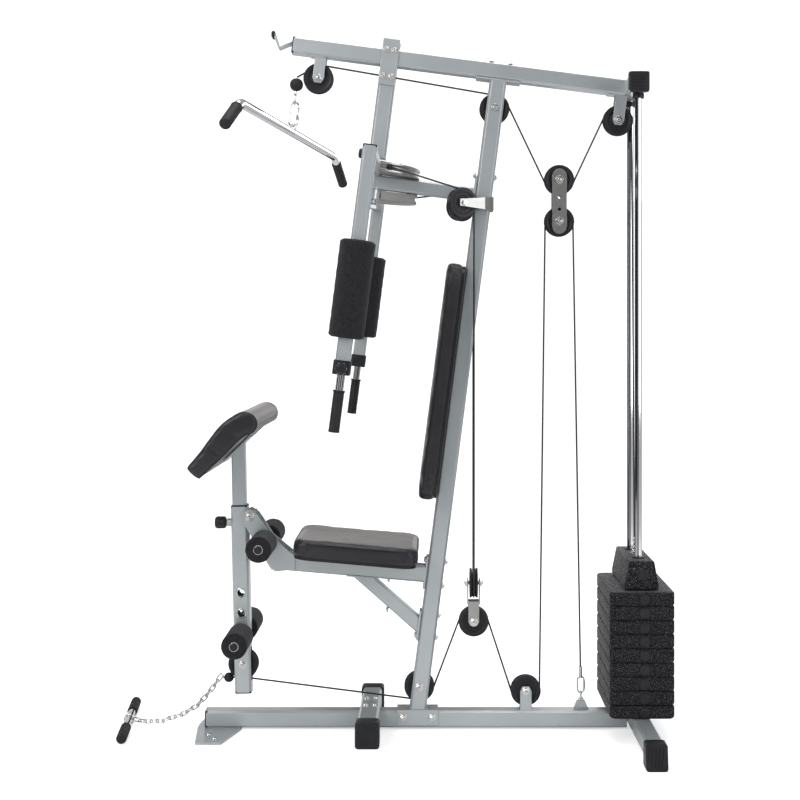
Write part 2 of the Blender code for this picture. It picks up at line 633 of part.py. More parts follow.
# ------------------------------------------------------------------- pulleys
def pulleys():
    half, rim, groove = PULLEY_W / 2, 0.005, 0.0032
    profile = [(BORE_R, -half), (PULLEY_R, -half), (PULLEY_R, -half + rim), (GROOVE_R, -groove),
               (GROOVE_R, groove), (PULLEY_R, half - rim), (PULLEY_R, half), (BORE_R, half)]
    for name, at, axis in (
            ("front_pulley", FRONT, RIGHT),
            ("upright_top_pulley", TOP, RIGHT),
            ("rear_top_pulley", REAR, RIGHT),
            ("floating_upper_pulley", FLOAT_HIGH, RIGHT),
            ("floating_lower_pulley", FLOAT_LOW, RIGHT),
            ("hanging_upper_pulley", HANG_HIGH, BACK),
            ("hanging_lower_pulley", HANG_LOW, RIGHT),
            ("upright_bottom_pulley", BOTTOM, RIGHT),
            ("base_pulley", BASE, RIGHT),
            ("lever_pulley", LEVER, RIGHT),
            ("fly_pulley_left", FLY[-1], FLY_AXIS[-1]),
            ("fly_pulley_right", FLY[1], FLY_AXIS[1])):
        piece(turned(profile, at, axis, 16, cyclic=True), name, "black_plastic", at)


def floating_block():
    """Two round-ended side plates joined by the two axles."""
    radius = 0.0215
    # height of each end's arc centre, first angle of the arc
    arcs = [(FLOAT_HIGH.z + 0.012, 0), (FLOAT_LOW.z - 0.016, 180)]
    plates = []
    for s in SIDES:
        shape = [Vector((FLOAT_HIGH.x + radius * cos(radians(a)), s * 0.0165,
                         z + radius * sin(radians(a))))
                 for z, first in arcs for a in range(first, first + 181, 30)]
        holes = [cross_rod(FLOAT_HIGH - UP * drop, 0.03, 0.0055, 10) for drop in (0.052, 0.088)]
        plates.append(cut(slab(shape, RIGHT * 0.003), *holes))
    axles = [cross_rod(at, 0.0245) for at in (FLOAT_HIGH, FLOAT_LOW)]
    piece(join(*plates, *axles), "floating_pulley_block", "zinc", FLOAT_HIGH)


def hanging_block():
    """Two brackets back to back, the upper one turned a quarter."""
    reach, drop = 0.0545, 0.0112
    joint = box(HANG_X, 0, (HANG_HIGH.z + HANG_LOW.z) / 2, 0.0380, 0.0380, 0.0090)
    block = join(*cheeks(HANG_HIGH, BACK, -UP, reach, drop),
                 *cheeks(HANG_LOW, RIGHT, UP, reach, drop, width=0.032), joint)
    piece(block, "hanging_pulley_block", "zinc", HANG_LOW)


# ----------------------------------------------------------- butterfly arms
def around_hub(s, angle, radius):
    """Point round an arm's hub, the angle in degrees from rearwards to outboard."""
    a = radians(angle)
    return ARM_HUB[s] + (AFT * cos(a) + RIGHT * s * sin(a)) * radius


def along_arm(s, z):
    """Point at height z on the centreline of an arm's long tube."""
    hub = ARM_HUB[s]
    return Vector((hub.x, s * ARM_Y, hub.z)) - RISE * ((hub.z - z) / RISE.z)


def cam_sector(s, inner, outer, height, level):
    """Part of the cam: a quarter ring on the rear outboard side of the hub."""
    angles = [-6 + 102 * k / 7 for k in range(8)]
    points = [around_hub(s, a, outer) + RISE * level for a in angles]
    points += [around_hub(s, a, inner) + RISE * level for a in reversed(angles)]
    return slab(points, RISE * height)


def fly_arm(s):
    """Hub, cam, level tube, long tube, and the bushing with its lock knob."""
    hub = ARM_HUB[s]
    bore, ring, half = 0.0125, 0.0215, 0.0145
    arm = turned([(bore, -half), (ring, -half), (ring, half), (bore, half)],
                 hub, RISE, 20, cyclic=True)
    # two flanges with the cable groove's floor between them
    cam = [cam_sector(s, 0.0190, CAM_R, 0.004, 0.0100),
           cam_sector(s, 0.0190, CAM_R, 0.004, -0.0100),
           cam_sector(s, 0.108, CAM_R - 0.009, 0.022, 0.0)]
    level_tube = bar(hub + RIGHT * s * 0.0185, Vector((hub.x, s * (ARM_Y - 0.012), hub.z)),
                     0.0142, 0.0185, 0.004, across=RISE)
    corner = Vector((hub.x, s * ARM_Y, hub.z))
    top = corner + RISE * max(0.0150, (ARM_TOP_Z - hub.z) / RISE.z)
    long_tube = bar(along_arm(s, ARM_LOW_Z), top, 0.0195, 0.0195, 0.005, across=AFT, hollow=True)
    arm = join(arm, level_tube, long_tube, *cam)
    at = along_arm(s, BUSH_Z)
    bush = bar(at + RISE * 0.0060, at - RISE * 0.030, 0.0225, 0.0225, 0.004, across=AFT)
    knob = turned([(0.005, 0), (0.005, 0.008), (0.0125, 0.010),
                   (0.0165, 0.014), (0.0165, 0.022), (0.010, 0.027)],
                  at - RISE * 0.014 + RIGHT * s * 0.0215, RIGHT * s, 12)
    arm = cut(join(arm, bush, knob), rod(at + RISE * 0.03, at - RISE * 0.05, 0.0119, 14))
    piece(arm, f"fly_arm_{SIDES[s]}", "silver_paint", hub)


def fly_foam(s):
    """Foam sleeve slid over the arm."""
    at = along_arm(s, FOAM_Z)
    bore, rim, outer, length = 0.0283, 0.0455, 0.0485, 0.2600
    foam = turned([(bore, 0.0), (rim, 0.0), (outer, 0.006),
                   (outer, length - 0.006), (rim, length), (bore, length)],
                  at, RISE, 16, cyclic=True)
    piece(foam, f"fly_foam_{SIDES[s]}", "foam", at)


def fly_handle(s):
    """Rod that telescopes in the bushing, with a thicker grip."""
    at = along_arm(s, BUSH_Z)
    handle = join(rod(at + RISE * 0.085, at - RISE * 0.182, 0.0112, 14),
                  rod(at - RISE * 0.075, at - RISE * 0.187, 0.0148, 14))
    piece(handle, f"fly_handle_{SIDES[s]}", "black_plastic", at)


# --------------------------------------------------------- lat bar and T-bar
def lat_bar():
    turn, tilt = radians(10.7), radians(1.2)
    run = Vector((sin(turn) * cos(tilt), cos(turn) * cos(tilt), -sin(tilt)))
    centre = mid(-0.410, 1.774)
    tips = {s: centre + run * s * 0.600 - UP * 0.075 for s in SIDES}
    bends = {s: centre + run * s * 0.500 - UP * 0.010 for s in SIDES}
    lat = sweep([tips[-1], bends[-1], centre - run * 0.470, centre + run * 0.470,
                 bends[1], tips[1]], 0.0125, 8)
    for s in SIDES:
        along = (bends[s] - tips[s]).normalized()
        lat = join(lat, rod(tips[s] - along * 0.004, tips[s] + along * 0.105, 0.0155, 14))
    stub = sweep([mid(-0.410, 1.780), mid(-0.405, 1.818)], 0.006, 8)
    link = sweep([mid(-0.405, 1.812), mid(-0.400, 1.905)], 0.0055, 8)
    ball = turned([(0.006, -0.020), (0.0155, -0.014), (0.020, 0), (0.0155, 0.014), (0.006, 0.020)],
                  mid(-0.3985, 1.918), UP, 16)
    piece(join(lat, stub, link, ball), "lat_bar", "chrome", centre)


def low_cable_stop():
    profile = [(0.006, -0.0145), (0.0113, -0.010), (0.0145, 0), (0.0113, 0.010), (0.006, 0.0145)]
    piece(turned(profile, STOP_BALL, BACK, 16), "low_cable_stop", "black_plastic", STOP_BALL)


def t_bar():
    """Bar lying on the floor in front, with two grips and its chain."""
    left, right = point(-0.883, -0.169, 0.0165), point(-0.925, 0.222, 0.0165)
    run = (right - left).normalized()
    handle = rod(left + run * 0.01, right - run * 0.01, 0.0115, 14)
    grips = [rod(left, left + run * 0.115, 0.0150, 16), rod(right, right - run * 0.115, 0.0150, 16)]
    handle = join(handle, *grips)
    chain = sweep([(left + right) / 2, *[point(*place) for place in CHAIN], CHAIN_END], 0.0042, 8)
    piece(join(handle, chain), "t_bar", "chrome", CHAIN_END)


# -------------------------------------------------------------------- cables
def wrap(centre, start, end, first=BACK, second=UP):
    """Arc round a pulley between two angles (degrees) in the plane first, second."""
    count = max(2, int(abs(end - start) / WRAP_STEP + 0.99))
    angles = [radians(start + (end - start) * k / count) for k in range(count + 1)]
    return [centre + (first * cos(a) + second * sin(a)) * WRAP_R for a in angles]


def tangent_angles(centre0, sense0, centre1, sense1):
    """Angles, in the XZ plane, where a straight run leaves one pulley and meets the next.
    Sense is +1 where the cord turns anticlockwise (X to Z), -1 clockwise."""
    gap = Vector((centre1.x - centre0.x, centre1.z - centre0.z))
    heading = atan2(gap.y, gap.x) + asin((sense0 - sense1) * WRAP_R / gap.length)
    normal = heading - pi / 2
    return [degrees(normal if sense > 0 else normal + pi) for sense in (sense0, sense1)]


def route(stops, start, end):
    """Cord through pulleys [(centre, sense)], with straight runs between them."""
    legs = [tangent_angles(*a, *b) for a, b in zip(stops, stops[1:])]
    arrivals = [start] + [leg[1] for leg in legs]
    departures = [leg[0] for leg in legs] + [end]
    points = []
    for (centre, sense), arrive, leave in zip(stops, arrivals, departures):
        # bring the departure within one turn of the arrival, in the cord's sense
        while sense * (leave - arrive) < -1e-6:
            leave += 360 * sense
        while sense * (leave - arrive) > 360:
            leave -= 360 * sense
        points += wrap(centre, arrive, leave)
    return points


def lat_cable():
    """From the lat bar over the beam's pulleys and the floating block to the stack."""
    path = route([(FRONT, -1), (TOP, -1), (FLOAT_HIGH, 1), (REAR, -1)], 150, 0)
    path = [mid(-0.3970, 1.9412), *path, mid(STACK_X, 0.5500)]
    piece(sweep(path, CABLE_R), "lat_cable", "cable")


def low_cable():
    """From the stop ball through the low pulleys and floating block to the rail's lug."""
    path = route([(LEVER, 1), (BOTTOM, 1), (HANG_LOW, -1), (BASE, 1), (FLOAT_LOW, -1)], -101, 0)
    path = [STOP_BALL + BACK * 0.0150, *path, mid(0.4450, 0.300), mid(0.4500, 0.0860)]
    piece(sweep(path, CABLE_R), "low_cable", "cable")


def fly_cable():
    """From cam to cam, over the fly pulleys and under the hanging block's upper pulley."""
    left, right = [[around_hub(s, 68, CAM_R - 0.0030), *wrap(FLY[s], 100, 0, FLY_RUN[s])]
                   for s in SIDES]
    path = left + wrap(HANG_HIGH, 180, 360, RIGHT) + right[::-1]
    piece(sweep(path, CABLE_R), "fly_cable", "cable")


# --------------------------------------------------------------------- build
for build in (base_rail, rear_foot, stabiliser, main_upright, top_beam, front_post,
              fly_pulley_bracket, seat_tube, seat_pad, back_pad, leg_lever, curl_post,
              curl_pad, curl_post_knob, guide_rods, weight_plates, top_weight_block,
              selector_pin, pulleys, floating_block, hanging_block, lat_bar,
              low_cable_stop, t_bar, lat_cable, low_cable, fly_cable):
    build()
roller("upper_roller", UPPER_ROLLER)
roller("lower_roller", LOWER_ROLLER)
for arm_side in SIDES:
    fly_arm(arm_side)
    fly_foam(arm_side)
    fly_handle(arm_side)
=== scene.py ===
"""Home multi-gym: a leaning upright with seat and back pad, a weight stack behind it,
a lat bar, butterfly arms, a leg lever with foam rollers, a curl pad and a T-bar.

Metres, +Z up. The user faces -X, so the front is -X, the stack is at +X, the left is -Y
and the right is +Y. The machine's middle plane is y = 0 and the floor is z = 0.
"""
import bpy, bmesh
from math import sin, cos, tan, asin, atan2, radians, pi, ceil
from mathutils import Vector, Matrix, noise


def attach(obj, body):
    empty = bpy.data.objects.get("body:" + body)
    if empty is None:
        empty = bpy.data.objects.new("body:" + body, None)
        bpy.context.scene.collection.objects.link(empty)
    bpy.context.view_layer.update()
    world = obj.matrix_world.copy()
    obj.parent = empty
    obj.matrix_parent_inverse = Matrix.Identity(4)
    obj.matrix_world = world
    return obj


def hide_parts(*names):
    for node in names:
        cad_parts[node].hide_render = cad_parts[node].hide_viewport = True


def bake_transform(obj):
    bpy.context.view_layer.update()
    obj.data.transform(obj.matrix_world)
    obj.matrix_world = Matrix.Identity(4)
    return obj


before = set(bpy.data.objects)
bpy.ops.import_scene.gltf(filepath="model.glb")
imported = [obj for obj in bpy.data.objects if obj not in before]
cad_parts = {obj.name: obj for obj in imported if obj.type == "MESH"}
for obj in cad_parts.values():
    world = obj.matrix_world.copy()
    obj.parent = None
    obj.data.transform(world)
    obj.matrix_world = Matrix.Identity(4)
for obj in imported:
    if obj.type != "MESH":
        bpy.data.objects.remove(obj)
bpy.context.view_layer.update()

# ============================================================ driving dimensions
ORIGIN_X = 0.11146               # world x of the origin that the stations are given from
LEAN = radians(7.3)              # rearward lean of the upright
XDIR, YDIR, ZDIR = Vector((1, 0, 0)), Vector((0, 1, 0)), Vector((0, 0, 1))
LEAN_UP = Vector((sin(LEAN), 0, cos(LEAN)))        # along the upright
LEAN_BACK = Vector((cos(LEAN), 0, -sin(LEAN)))     # square to it, rearward
LEFT_RIGHT = ((-1, "left"), (1, "right"))
SIDES_AB = ((-1, "a"), (1, "b"))                   # -Y piece, +Y piece


def spot(x, y, z):
    """World point of a station on the machine."""
    return Vector((x + ORIGIN_X, y, z))


def upright_x(z):
    """Station x of the upright's centre line at height z."""
    return -0.038 + (z - 0.047) * tan(LEAN)


def upright_at(z):
    return spot(upright_x(z), 0, z)


def beam_at(x):
    """Centre of the top beam at station x."""
    return spot(x, 0, 2.034 - (x + 0.406) * tan(LEAN))


# pulley centres
FRONT, TOP, REAR = spot(-0.3325, 0, 1.9355), spot(0.192, 0, 1.845), spot(0.560, 0, 1.810)
FLOAT_UPPER, FLOAT_LOWER = spot(0.385, 0, 1.633), spot(0.385, 0, 1.509)
HANG_UPPER, HANG_LOWER = spot(0.130, 0, 0.432), spot(0.130, 0, 0.318)
BOTTOM, BASE, LEVER = spot(-0.032, 0, 0.125), spot(0.285, 0, 0.112), spot(-0.556, 0, 0.192)
FLY_TURN = radians(28)           # the two fly pulleys are turned outwards by this
FLY = {s: spot(0.0934, s * 0.0605, 1.560) for s in (-1, 1)}
FLY_DIR = {s: Vector((cos(FLY_TURN), -s * sin(FLY_TURN), 0)) for s in (-1, 1)}
FLY_AXLE = {s: Vector((sin(FLY_TURN), s * cos(FLY_TURN), 0)) for s in (-1, 1)}
CABLE_R = 0.0026
WRAP_R = 0.0415                  # radius of the cable's centre line on a pulley

LEVER_PIVOT = spot(-0.535, 0, 0.633)
LOW_BALL = spot(-0.6000, 0, 0.1495)
ARM_PIVOT = spot(-0.157, 0, 1.70)
ARM_Y = 0.41
CAM_R = 0.132
CAM_DROP = {-1: 0.0365, 1: 0.1100}    # each cam's distance below the arm pivot
UPRIGHT_HALF = 0.025
REAR_FOOT_X = 0.610
STABILISER_X = -0.178

STACK_X, ROD_Y = 0.610, 0.077
PLATE_COUNT, PLATE_PITCH, PLATE_THICK, PLATE_Z = 9, 0.0406, 0.0385, 0.0702
PLATE_HALF_X, PLATE_HALF_Y = 0.0938, 0.1628
PINNED_PLATE = 5                 # this plate and those above it move with the stack
BLOCK_Z = PLATE_Z + PLATE_PITCH * PLATE_COUNT + 0.0010
BLOCK_TOP = 0.5190
BLOCK_HALF_Y = 0.1385

SEAT_TUBE_END = spot(-0.448, 0, 0.499)
SEAT_DIR = (spot(-0.0160, 0, 0.4616) - SEAT_TUBE_END).normalized()
SEAT_UP = SEAT_DIR.cross(YDIR)
LEVER_TOP, LEVER_FOOT = spot(-0.567, 0, 0.662), spot(-0.5545, 0, 0.110)
LEVER_DIR = (LEVER_TOP - LEVER_FOOT).normalized()
LEVER_NORMAL = Vector((LEVER_DIR.z, 0, -LEVER_DIR.x))


# ============================================================== material helpers
def new_material(name):
    material = bpy.data.materials.new(name)
    material.use_nodes = True
    tree = material.node_tree
    return material, tree, tree.nodes["Principled BSDF"]


def feed(tree, value, socket):
    """Link an output socket, or set a plain value."""
    if isinstance(value, bpy.types.NodeSocket):
        tree.links.new(value, socket)
    else:
        socket.default_value = value


def set_inputs(tree, node, **values):
    """Feed inputs by name, with underscores for spaces."""
    for key, value in values.items():
        feed(tree, value, node.inputs[key.replace("_", " ")])
    return node


def texture(tree, kind, scale, **inputs):
    """Texture node in object coordinates."""
    node = tree.nodes.new("ShaderNodeTex" + kind)
    coords = tree.nodes.new("ShaderNodeTexCoord")
    return set_inputs(tree, node, Vector=coords.outputs["Object"], Scale=scale, **inputs)


def noise_tex(tree, scale, **inputs):
    return texture(tree, "Noise", scale, **inputs).outputs["Fac"]


def color_ramp(tree, source, stops):
    """Colour ramp from (position, rgb) stops."""
    node = tree.nodes.new("ShaderNodeValToRGB")
    marks = node.color_ramp.elements
    marks[0].position, marks[1].position = stops[0][0], stops[-1][0]
    for position, rgb in stops[1:-1]:
        marks.new(position).color = (*rgb, 1)
    marks[0].color = (*stops[0][1], 1)
    marks[len(marks) - 1].color = (*stops[-1][1], 1)
    tree.links.new(source, node.inputs["Fac"])
    return node.outputs["Color"]


def map_range(tree, source, to_min, to_max, from_min=0.0, from_max=1.0):
    node = tree.nodes.new("ShaderNodeMapRange")
    set_inputs(tree, node, From_Min=from_min, From_Max=from_max,
               To_Min=to_min, To_Max=to_max, Value=source)
    return node.outputs[0]


def mix_color(tree, factor, first, second, blend="MIX"):
    node = tree.nodes.new("ShaderNodeMix")
    node.data_type = "RGBA"
    node.blend_type = blend
    # sockets 0, 6 and 7 are the factor and the two colours
    for index, value in ((0, factor), (6, first), (7, second)):
        feed(tree, value, node.inputs[index])
    return node.outputs[2]


def math_node(tree, operation, first, second):
    node = tree.nodes.new("ShaderNodeMath")
    node.operation = operation
    feed(tree, first, node.inputs[0])
    feed(tree, second, node.inputs[1])
    return node.outputs[0]


def normal_axis(tree, axis):
    """One component of the surface normal."""
    geometry = tree.nodes.new("ShaderNodeNewGeometry")
    split = tree.nodes.new("ShaderNodeSeparateXYZ")
    tree.links.new(geometry.outputs["Normal"], split.inputs[0])
    return split.outputs[axis]


def facing(tree):
    node = tree.nodes.new("ShaderNodeLayerWeight")
    return set_inputs(tree, node, Blend=0.5).outputs["Facing"]


def bump(tree, bsdf, height, strength, distance, under=None):
    """Bump the surface; under is a normal that it builds on."""
    node = tree.nodes.new("ShaderNodeBump")
    set_inputs(tree, node, Strength=strength, Distance=distance, Height=height)
    if under:
        tree.links.new(under, node.inputs["Normal"])
    tree.links.new(node.outputs["Normal"], bsdf.inputs["Normal"])
    return node.outputs["Normal"]


def edge_round(tree, radius):
    node = tree.nodes.new("ShaderNodeBevel")
    node.samples = 4
    return set_inputs(tree, node, Radius=radius).outputs["Normal"]


def scaled(rgb, factor):
    return tuple(value * factor for value in rgb)


# ===================================================================== materials
def silver_paint():
    """Metallic paint with fine flakes and a slight orange peel."""
    material, tree, bsdf = new_material("silver_metallic_paint")
    color = color_ramp(tree, noise_tex(tree, 6, Detail=3),
                       [(0.3, (0.425, 0.455, 0.465)), (0.7, (0.465, 0.495, 0.505))])
    flake = texture(tree, "Voronoi", 2600).outputs["Color"]
    flake = color_ramp(tree, flake, [(0.0, (0.72, 0.72, 0.72)), (1.0, (1.25, 1.25, 1.25))])
    rough = map_range(tree, noise_tex(tree, 40, Detail=5), to_min=0.30, to_max=0.42)
    set_inputs(tree, bsdf, Metallic=0.60, Roughness=rough, Coat_Weight=0.35,
               Coat_Roughness=0.12,
               Base_Color=mix_color(tree, 0.25, color, flake, blend="MULTIPLY"))
    bump(tree, bsdf, noise_tex(tree, 420, Detail=2), strength=0.10, distance=0.0006,
         under=edge_round(tree, 0.0035))
    return material


def metal(name, rgb, rough, scratch=0.05, brushed=False):
    """Bare or plated metal; scratch is how far the roughness wanders."""
    material, tree, bsdf = new_material(name)
    color = color_ramp(tree, noise_tex(tree, 30, Detail=6),
                       [(0.3, scaled(rgb, 0.88)), (0.7, rgb)])
    worn = map_range(tree, noise_tex(tree, 160, Detail=4), rough, rough + scratch)
    set_inputs(tree, bsdf, Base_Color=color, Metallic=1.0, Roughness=worn)
    bump(tree, bsdf, noise_tex(tree, 900 if brushed else 300, Detail=3),
         strength=0.03 if brushed else 0.02, distance=0.0003, under=edge_round(tree, 0.001))
    return material


def plastic(name, rgb, rough, grain=900, depth=0.15):
    material, tree, bsdf = new_material(name)
    color = color_ramp(tree, noise_tex(tree, 25, Detail=4),
                       [(0.3, scaled(rgb, 0.8)), (0.75, scaled(rgb, 1.25))])
    uneven = map_range(tree, noise_tex(tree, 90, Detail=4), rough - 0.06, rough + 0.08)
    set_inputs(tree, bsdf, Base_Color=color, Roughness=uneven, Specular_IOR_Level=0.30)
    bump(tree, bsdf, noise_tex(tree, grain, Detail=2), strength=depth, distance=0.0005,
         under=edge_round(tree, 0.0015))
    return material


def closed_cell_foam():
    material, tree, bsdf = new_material("closed_cell_foam")
    cells = texture(tree, "Voronoi", 650).outputs["Distance"]
    lumps = noise_tex(tree, 120, Detail=6)
    color = color_ramp(tree, lumps,
                       [(0.35, (0.0075, 0.0072, 0.0090)), (0.7, (0.016, 0.0155, 0.019))])
    set_inputs(tree, bsdf, Base_Color=color, Roughness=0.88, Specular_IOR_Level=0.2,
               Sheen_Weight=0.08, Sheen_Roughness=0.6)
    pores = bump(tree, bsdf, cells, strength=0.55, distance=0.0008)
    bump(tree, bsdf, lumps, strength=0.35, distance=0.0012, under=pores)
    return material


def grain_vinyl():
    """Satin vinyl with a painted sheen: paler at a grazing angle, a painted reflection of the
    bright room, except where it faces down.
    """
    material, tree, bsdf = new_material("black_grain_vinyl")
    color = color_ramp(tree, noise_tex(tree, 14, Detail=5),
                       [(0.3, (0.0085, 0.0080, 0.0105)), (0.7, (0.0170, 0.0160, 0.0205))])
    # painted reflection: upward faces seen at a grazing angle are mixed towards pale grey
    upward = map_range(tree, normal_axis(tree, "Z"), 0.0, 1.0, from_min=-0.35, from_max=0.35)
    grazing = map_range(tree, facing(tree), 0.0, 1.0, from_min=0.62, from_max=0.86)
    color = mix_color(tree, math_node(tree, "MULTIPLY", upward, grazing), color,
                      (0.275, 0.258, 0.255, 1))
    rough = map_range(tree, noise_tex(tree, 60, Detail=5), to_min=0.34, to_max=0.48)
    set_inputs(tree, bsdf, Base_Color=color, Roughness=rough, Specular_IOR_Level=0.38,
               Coat_Weight=0.15, Coat_Roughness=0.3)
    grain = texture(tree, "Voronoi", 420)
    grain.feature = "DISTANCE_TO_EDGE"
    crease = noise_tex(tree, 22, Detail=6, Distortion=0.8)
    grain_height = map_range(tree, grain.outputs["Distance"], 0, 1, from_min=0, from_max=0.25)
    fine = bump(tree, bsdf, grain_height, strength=0.22, distance=0.0006)
    bump(tree, bsdf, crease, strength=0.20, distance=0.004, under=fine)
    return material


def speckled_casing():
    """Dark casing with pale specks; paler at a grazing angle, which is a painted sheen."""
    material, tree, bsdf = new_material("speckled_casing")
    cells = texture(tree, "Voronoi", 260, Randomness=1.0).outputs["Distance"]
    specks = noise_tex(tree, 320, Detail=6, Roughness=0.75)
    # painted sheen: the pale ramp is a lit copy of the dark one, mixed in at grazing angles below
    dark = color_ramp(tree, specks, [(0.45, (0.0045, 0.0045, 0.006)),
                                     (0.55, (0.017, 0.017, 0.020)), (0.68, (0.20, 0.20, 0.215))])
    pale = color_ramp(tree, specks, [(0.40, (0.022, 0.020, 0.023)),
                                     (0.52, (0.10, 0.095, 0.10)), (0.62, (0.46, 0.44, 0.45))])
    grazing = map_range(tree, facing(tree), 0.0, 0.85, from_min=0.50, from_max=0.90)
    set_inputs(tree, bsdf, Base_Color=mix_color(tree, grazing, dark, pale), Roughness=0.82,
               Specular_IOR_Level=0.12)
    rough_skin = bump(tree, bsdf, specks, strength=0.5, distance=0.0010)
    bump(tree, bsdf, cells, strength=0.25, distance=0.0008, under=rough_skin)
    return material


def coated_cable():
    material, tree, bsdf = new_material("coated_cable")
    wave = texture(tree, "Wave", 160)
    wave.bands_direction = "DIAGONAL"
    strands = wave.outputs["Fac"]
    color = color_ramp(tree, strands, [(0.0, (0.010, 0.010, 0.011)), (1.0, (0.022, 0.022, 0.024))])
    set_inputs(tree, bsdf, Base_Color=color, Roughness=0.33)
    bump(tree, bsdf, strands, strength=0.12, distance=0.0004)
    return material


# painted reflection bands of the plated rods, brightness by facing: (0 = faces -X .. 1 = faces +X,
# grey)
ROD_PAINTED_REFLECTION = [
    (0.0, 0.02), (0.10, 0.03), (0.17, 0.80), (0.30, 0.72), (0.37, 0.16), (0.45, 0.22),
    (0.52, 0.90), (0.63, 0.80), (0.70, 0.06), (0.77, 0.10), (0.84, 0.85), (0.91, 0.60),
    (0.96, 0.03)]


def polished_rod():
    """Polished plating with dark and light bands painted into its colour: a painted reflection of
    the lit room that a bright rod mirrors.
    """
    material, tree, bsdf = new_material("polished_rod")
    # painted reflection: the colour is banded by the direction the surface faces
    across = map_range(tree, normal_axis(tree, "X"), 0.0, 1.0, from_min=-1.0, from_max=1.0)
    waver = map_range(tree, noise_tex(tree, 2.2, Detail=2), to_min=-0.035, to_max=0.035)
    color = color_ramp(tree, math_node(tree, "ADD", across, waver),
                       [(place, (grey, grey, grey * 1.02)) for place, grey in ROD_PAINTED_REFLECTION])
    set_inputs(tree, bsdf, Base_Color=color, Metallic=1.0, Roughness=0.08)
    bump(tree, bsdf, noise_tex(tree, 260, Detail=3), strength=0.02, distance=0.0003)
    return material


NEAR_BLACK = (0.0135, 0.0132, 0.0155)
SILVER = silver_paint()
ZINC = metal("zinc_plate", (0.43, 0.425, 0.41), rough=0.30, scratch=0.14, brushed=True)
STEEL = metal("bolt_steel", (0.66, 0.65, 0.63), rough=0.18, scratch=0.10)
CHROME = metal("chrome_plate", (0.66, 0.66, 0.67), rough=0.045, scratch=0.04)
BLACK = plastic("black_nylon", NEAR_BLACK, rough=0.40)
RUBBER = plastic("black_rubber", NEAR_BLACK, rough=0.58, grain=500, depth=0.3)
FOAM = closed_cell_foam()
VINYL = grain_vinyl()
PIPING = plastic("piping_vinyl", (0.011, 0.011, 0.012), rough=0.30, grain=1500, depth=0.1)
GRANITE = speckled_casing()
CABLE = coated_cable()
ROD = polished_rod()
# near black for the painted shade laid in the gaps of the weight plates
GAP_SHADE = plastic("painted_gap_shade", (0.006, 0.006, 0.007), rough=0.8)


# ==================================================================== mesh tools
def mesh_obj(name, mesh, material, smooth=35):
    """Object from a bmesh; smooth is the sharp-edge angle in degrees, 0 for flat."""
    bmesh.ops.recalc_face_normals(mesh, faces=mesh.faces)
    data = bpy.data.meshes.new(name)
    mesh.to_mesh(data)
    mesh.free()
    obj = bpy.data.objects.new(name, data)
    bpy.context.scene.collection.objects.link(obj)
    data.materials.append(material)
    if smooth:
        data.shade_smooth()
        data.set_sharp_from_angle(angle=radians(smooth))
    return obj


def put(obj, body, *nodes, slot=None):
    """Attach a piece to its body and hide the CAD nodes it replaces; slot is not used."""
    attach(obj, body)
    if nodes:
        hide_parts(*nodes)
    return obj


def loft(rings, cyclic=False, mesh=None):
    """Skin the rings; the ends are closed unless the rings run in a cycle."""
    mesh = mesh or bmesh.new()
    rows = [[mesh.verts.new(p) for p in points] for points in rings]
    count = len(rings[0])
    for i in range(len(rows) if cyclic else len(rows) - 1):
        low, high = rows[i], rows[(i + 1) % len(rows)]
        for k in range(count):
            j = (k + 1) % count
            mesh.faces.new((low[k], low[j], high[j], high[k]))
    if not cyclic:
        mesh.faces.new(rows[0][::-1])
        mesh.faces.new(rows[-1])
    return mesh


def cross_axes(axis):
    """Two unit directions square to the axis."""
    side = axis.cross(XDIR if abs(axis.x) < 0.7 else YDIR).normalized()
    return side, axis.cross(side)


def ring(centre, side, cross, count, radius):
    """Ring of points; radius is a number or a function of the point's index."""
    radius_of = radius if callable(radius) else lambda k: radius
    return [centre + (side * cos(2 * pi * k / count) + cross * sin(2 * pi * k / count))
            * radius_of(k) for k in range(count)]


def lathe_mesh(profile, base, axis, count, closed, mesh=None):
    axis = axis.normalized()
    side, cross = cross_axes(axis)
    rings = [ring(base + axis * along, side, cross, count, r) for r, along in profile]
    return loft(rings, closed, mesh)


def lathe(name, profile, base, axis, material, count=48, closed=False, smooth=32):
    """Turned piece; the profile lists (radius, distance along the axis)."""
    return mesh_obj(name, lathe_mesh(profile, base, axis, count, closed), material, smooth)


def collar_profile(bore, face, rim, chamfer, height):
    """Flat ring with both outer edges chamfered."""
    return [(bore, 0.0), (face, 0.0), (rim, chamfer), (rim, height - chamfer), (face, height),
            (bore, height)]


def rings_of(path, radius, count, closed=False):
    """Circles square to a path; radius is one number or one for each point."""
    legs = [(b - a).normalized() for a, b in zip(path, path[1:])]
    if closed:
        legs.append((path[0] - path[-1]).normalized())
    side = YDIR if abs(legs[0].y) < 0.8 else XDIR
    rings = []
    for i, point in enumerate(path):
        if closed:
            tangent = (legs[i - 1] + legs[i]).normalized()
        else:
            tangent = (legs[max(i - 1, 0)] + legs[min(i, len(legs) - 1)]).normalized()
        side = (side - tangent * side.dot(tangent)).normalized()
        here = radius[i] if isinstance(radius, (list, tuple)) else radius
        rings.append(ring(point, side, tangent.cross(side), count, here))
    return rings


def sweep(name, path, radius, material, count=12, closed=False):
    return mesh_obj(name, loft(rings_of(path, radius, count, closed), closed), material)


def rounded_rect(half_u, half_v, corner, seg=5):
    points = []
    inner_u, inner_v = half_u - corner, half_v - corner
    for u, v, start in ((inner_u, inner_v, 0), (-inner_u, inner_v, 90),
                        (-inner_u, -inner_v, 180), (inner_u, -inner_v, 270)):
        for k in range(seg + 1):
            angle = radians(start + 90 * k / seg)
            points.append((u + corner * cos(angle), v + corner * sin(angle)))
    return points


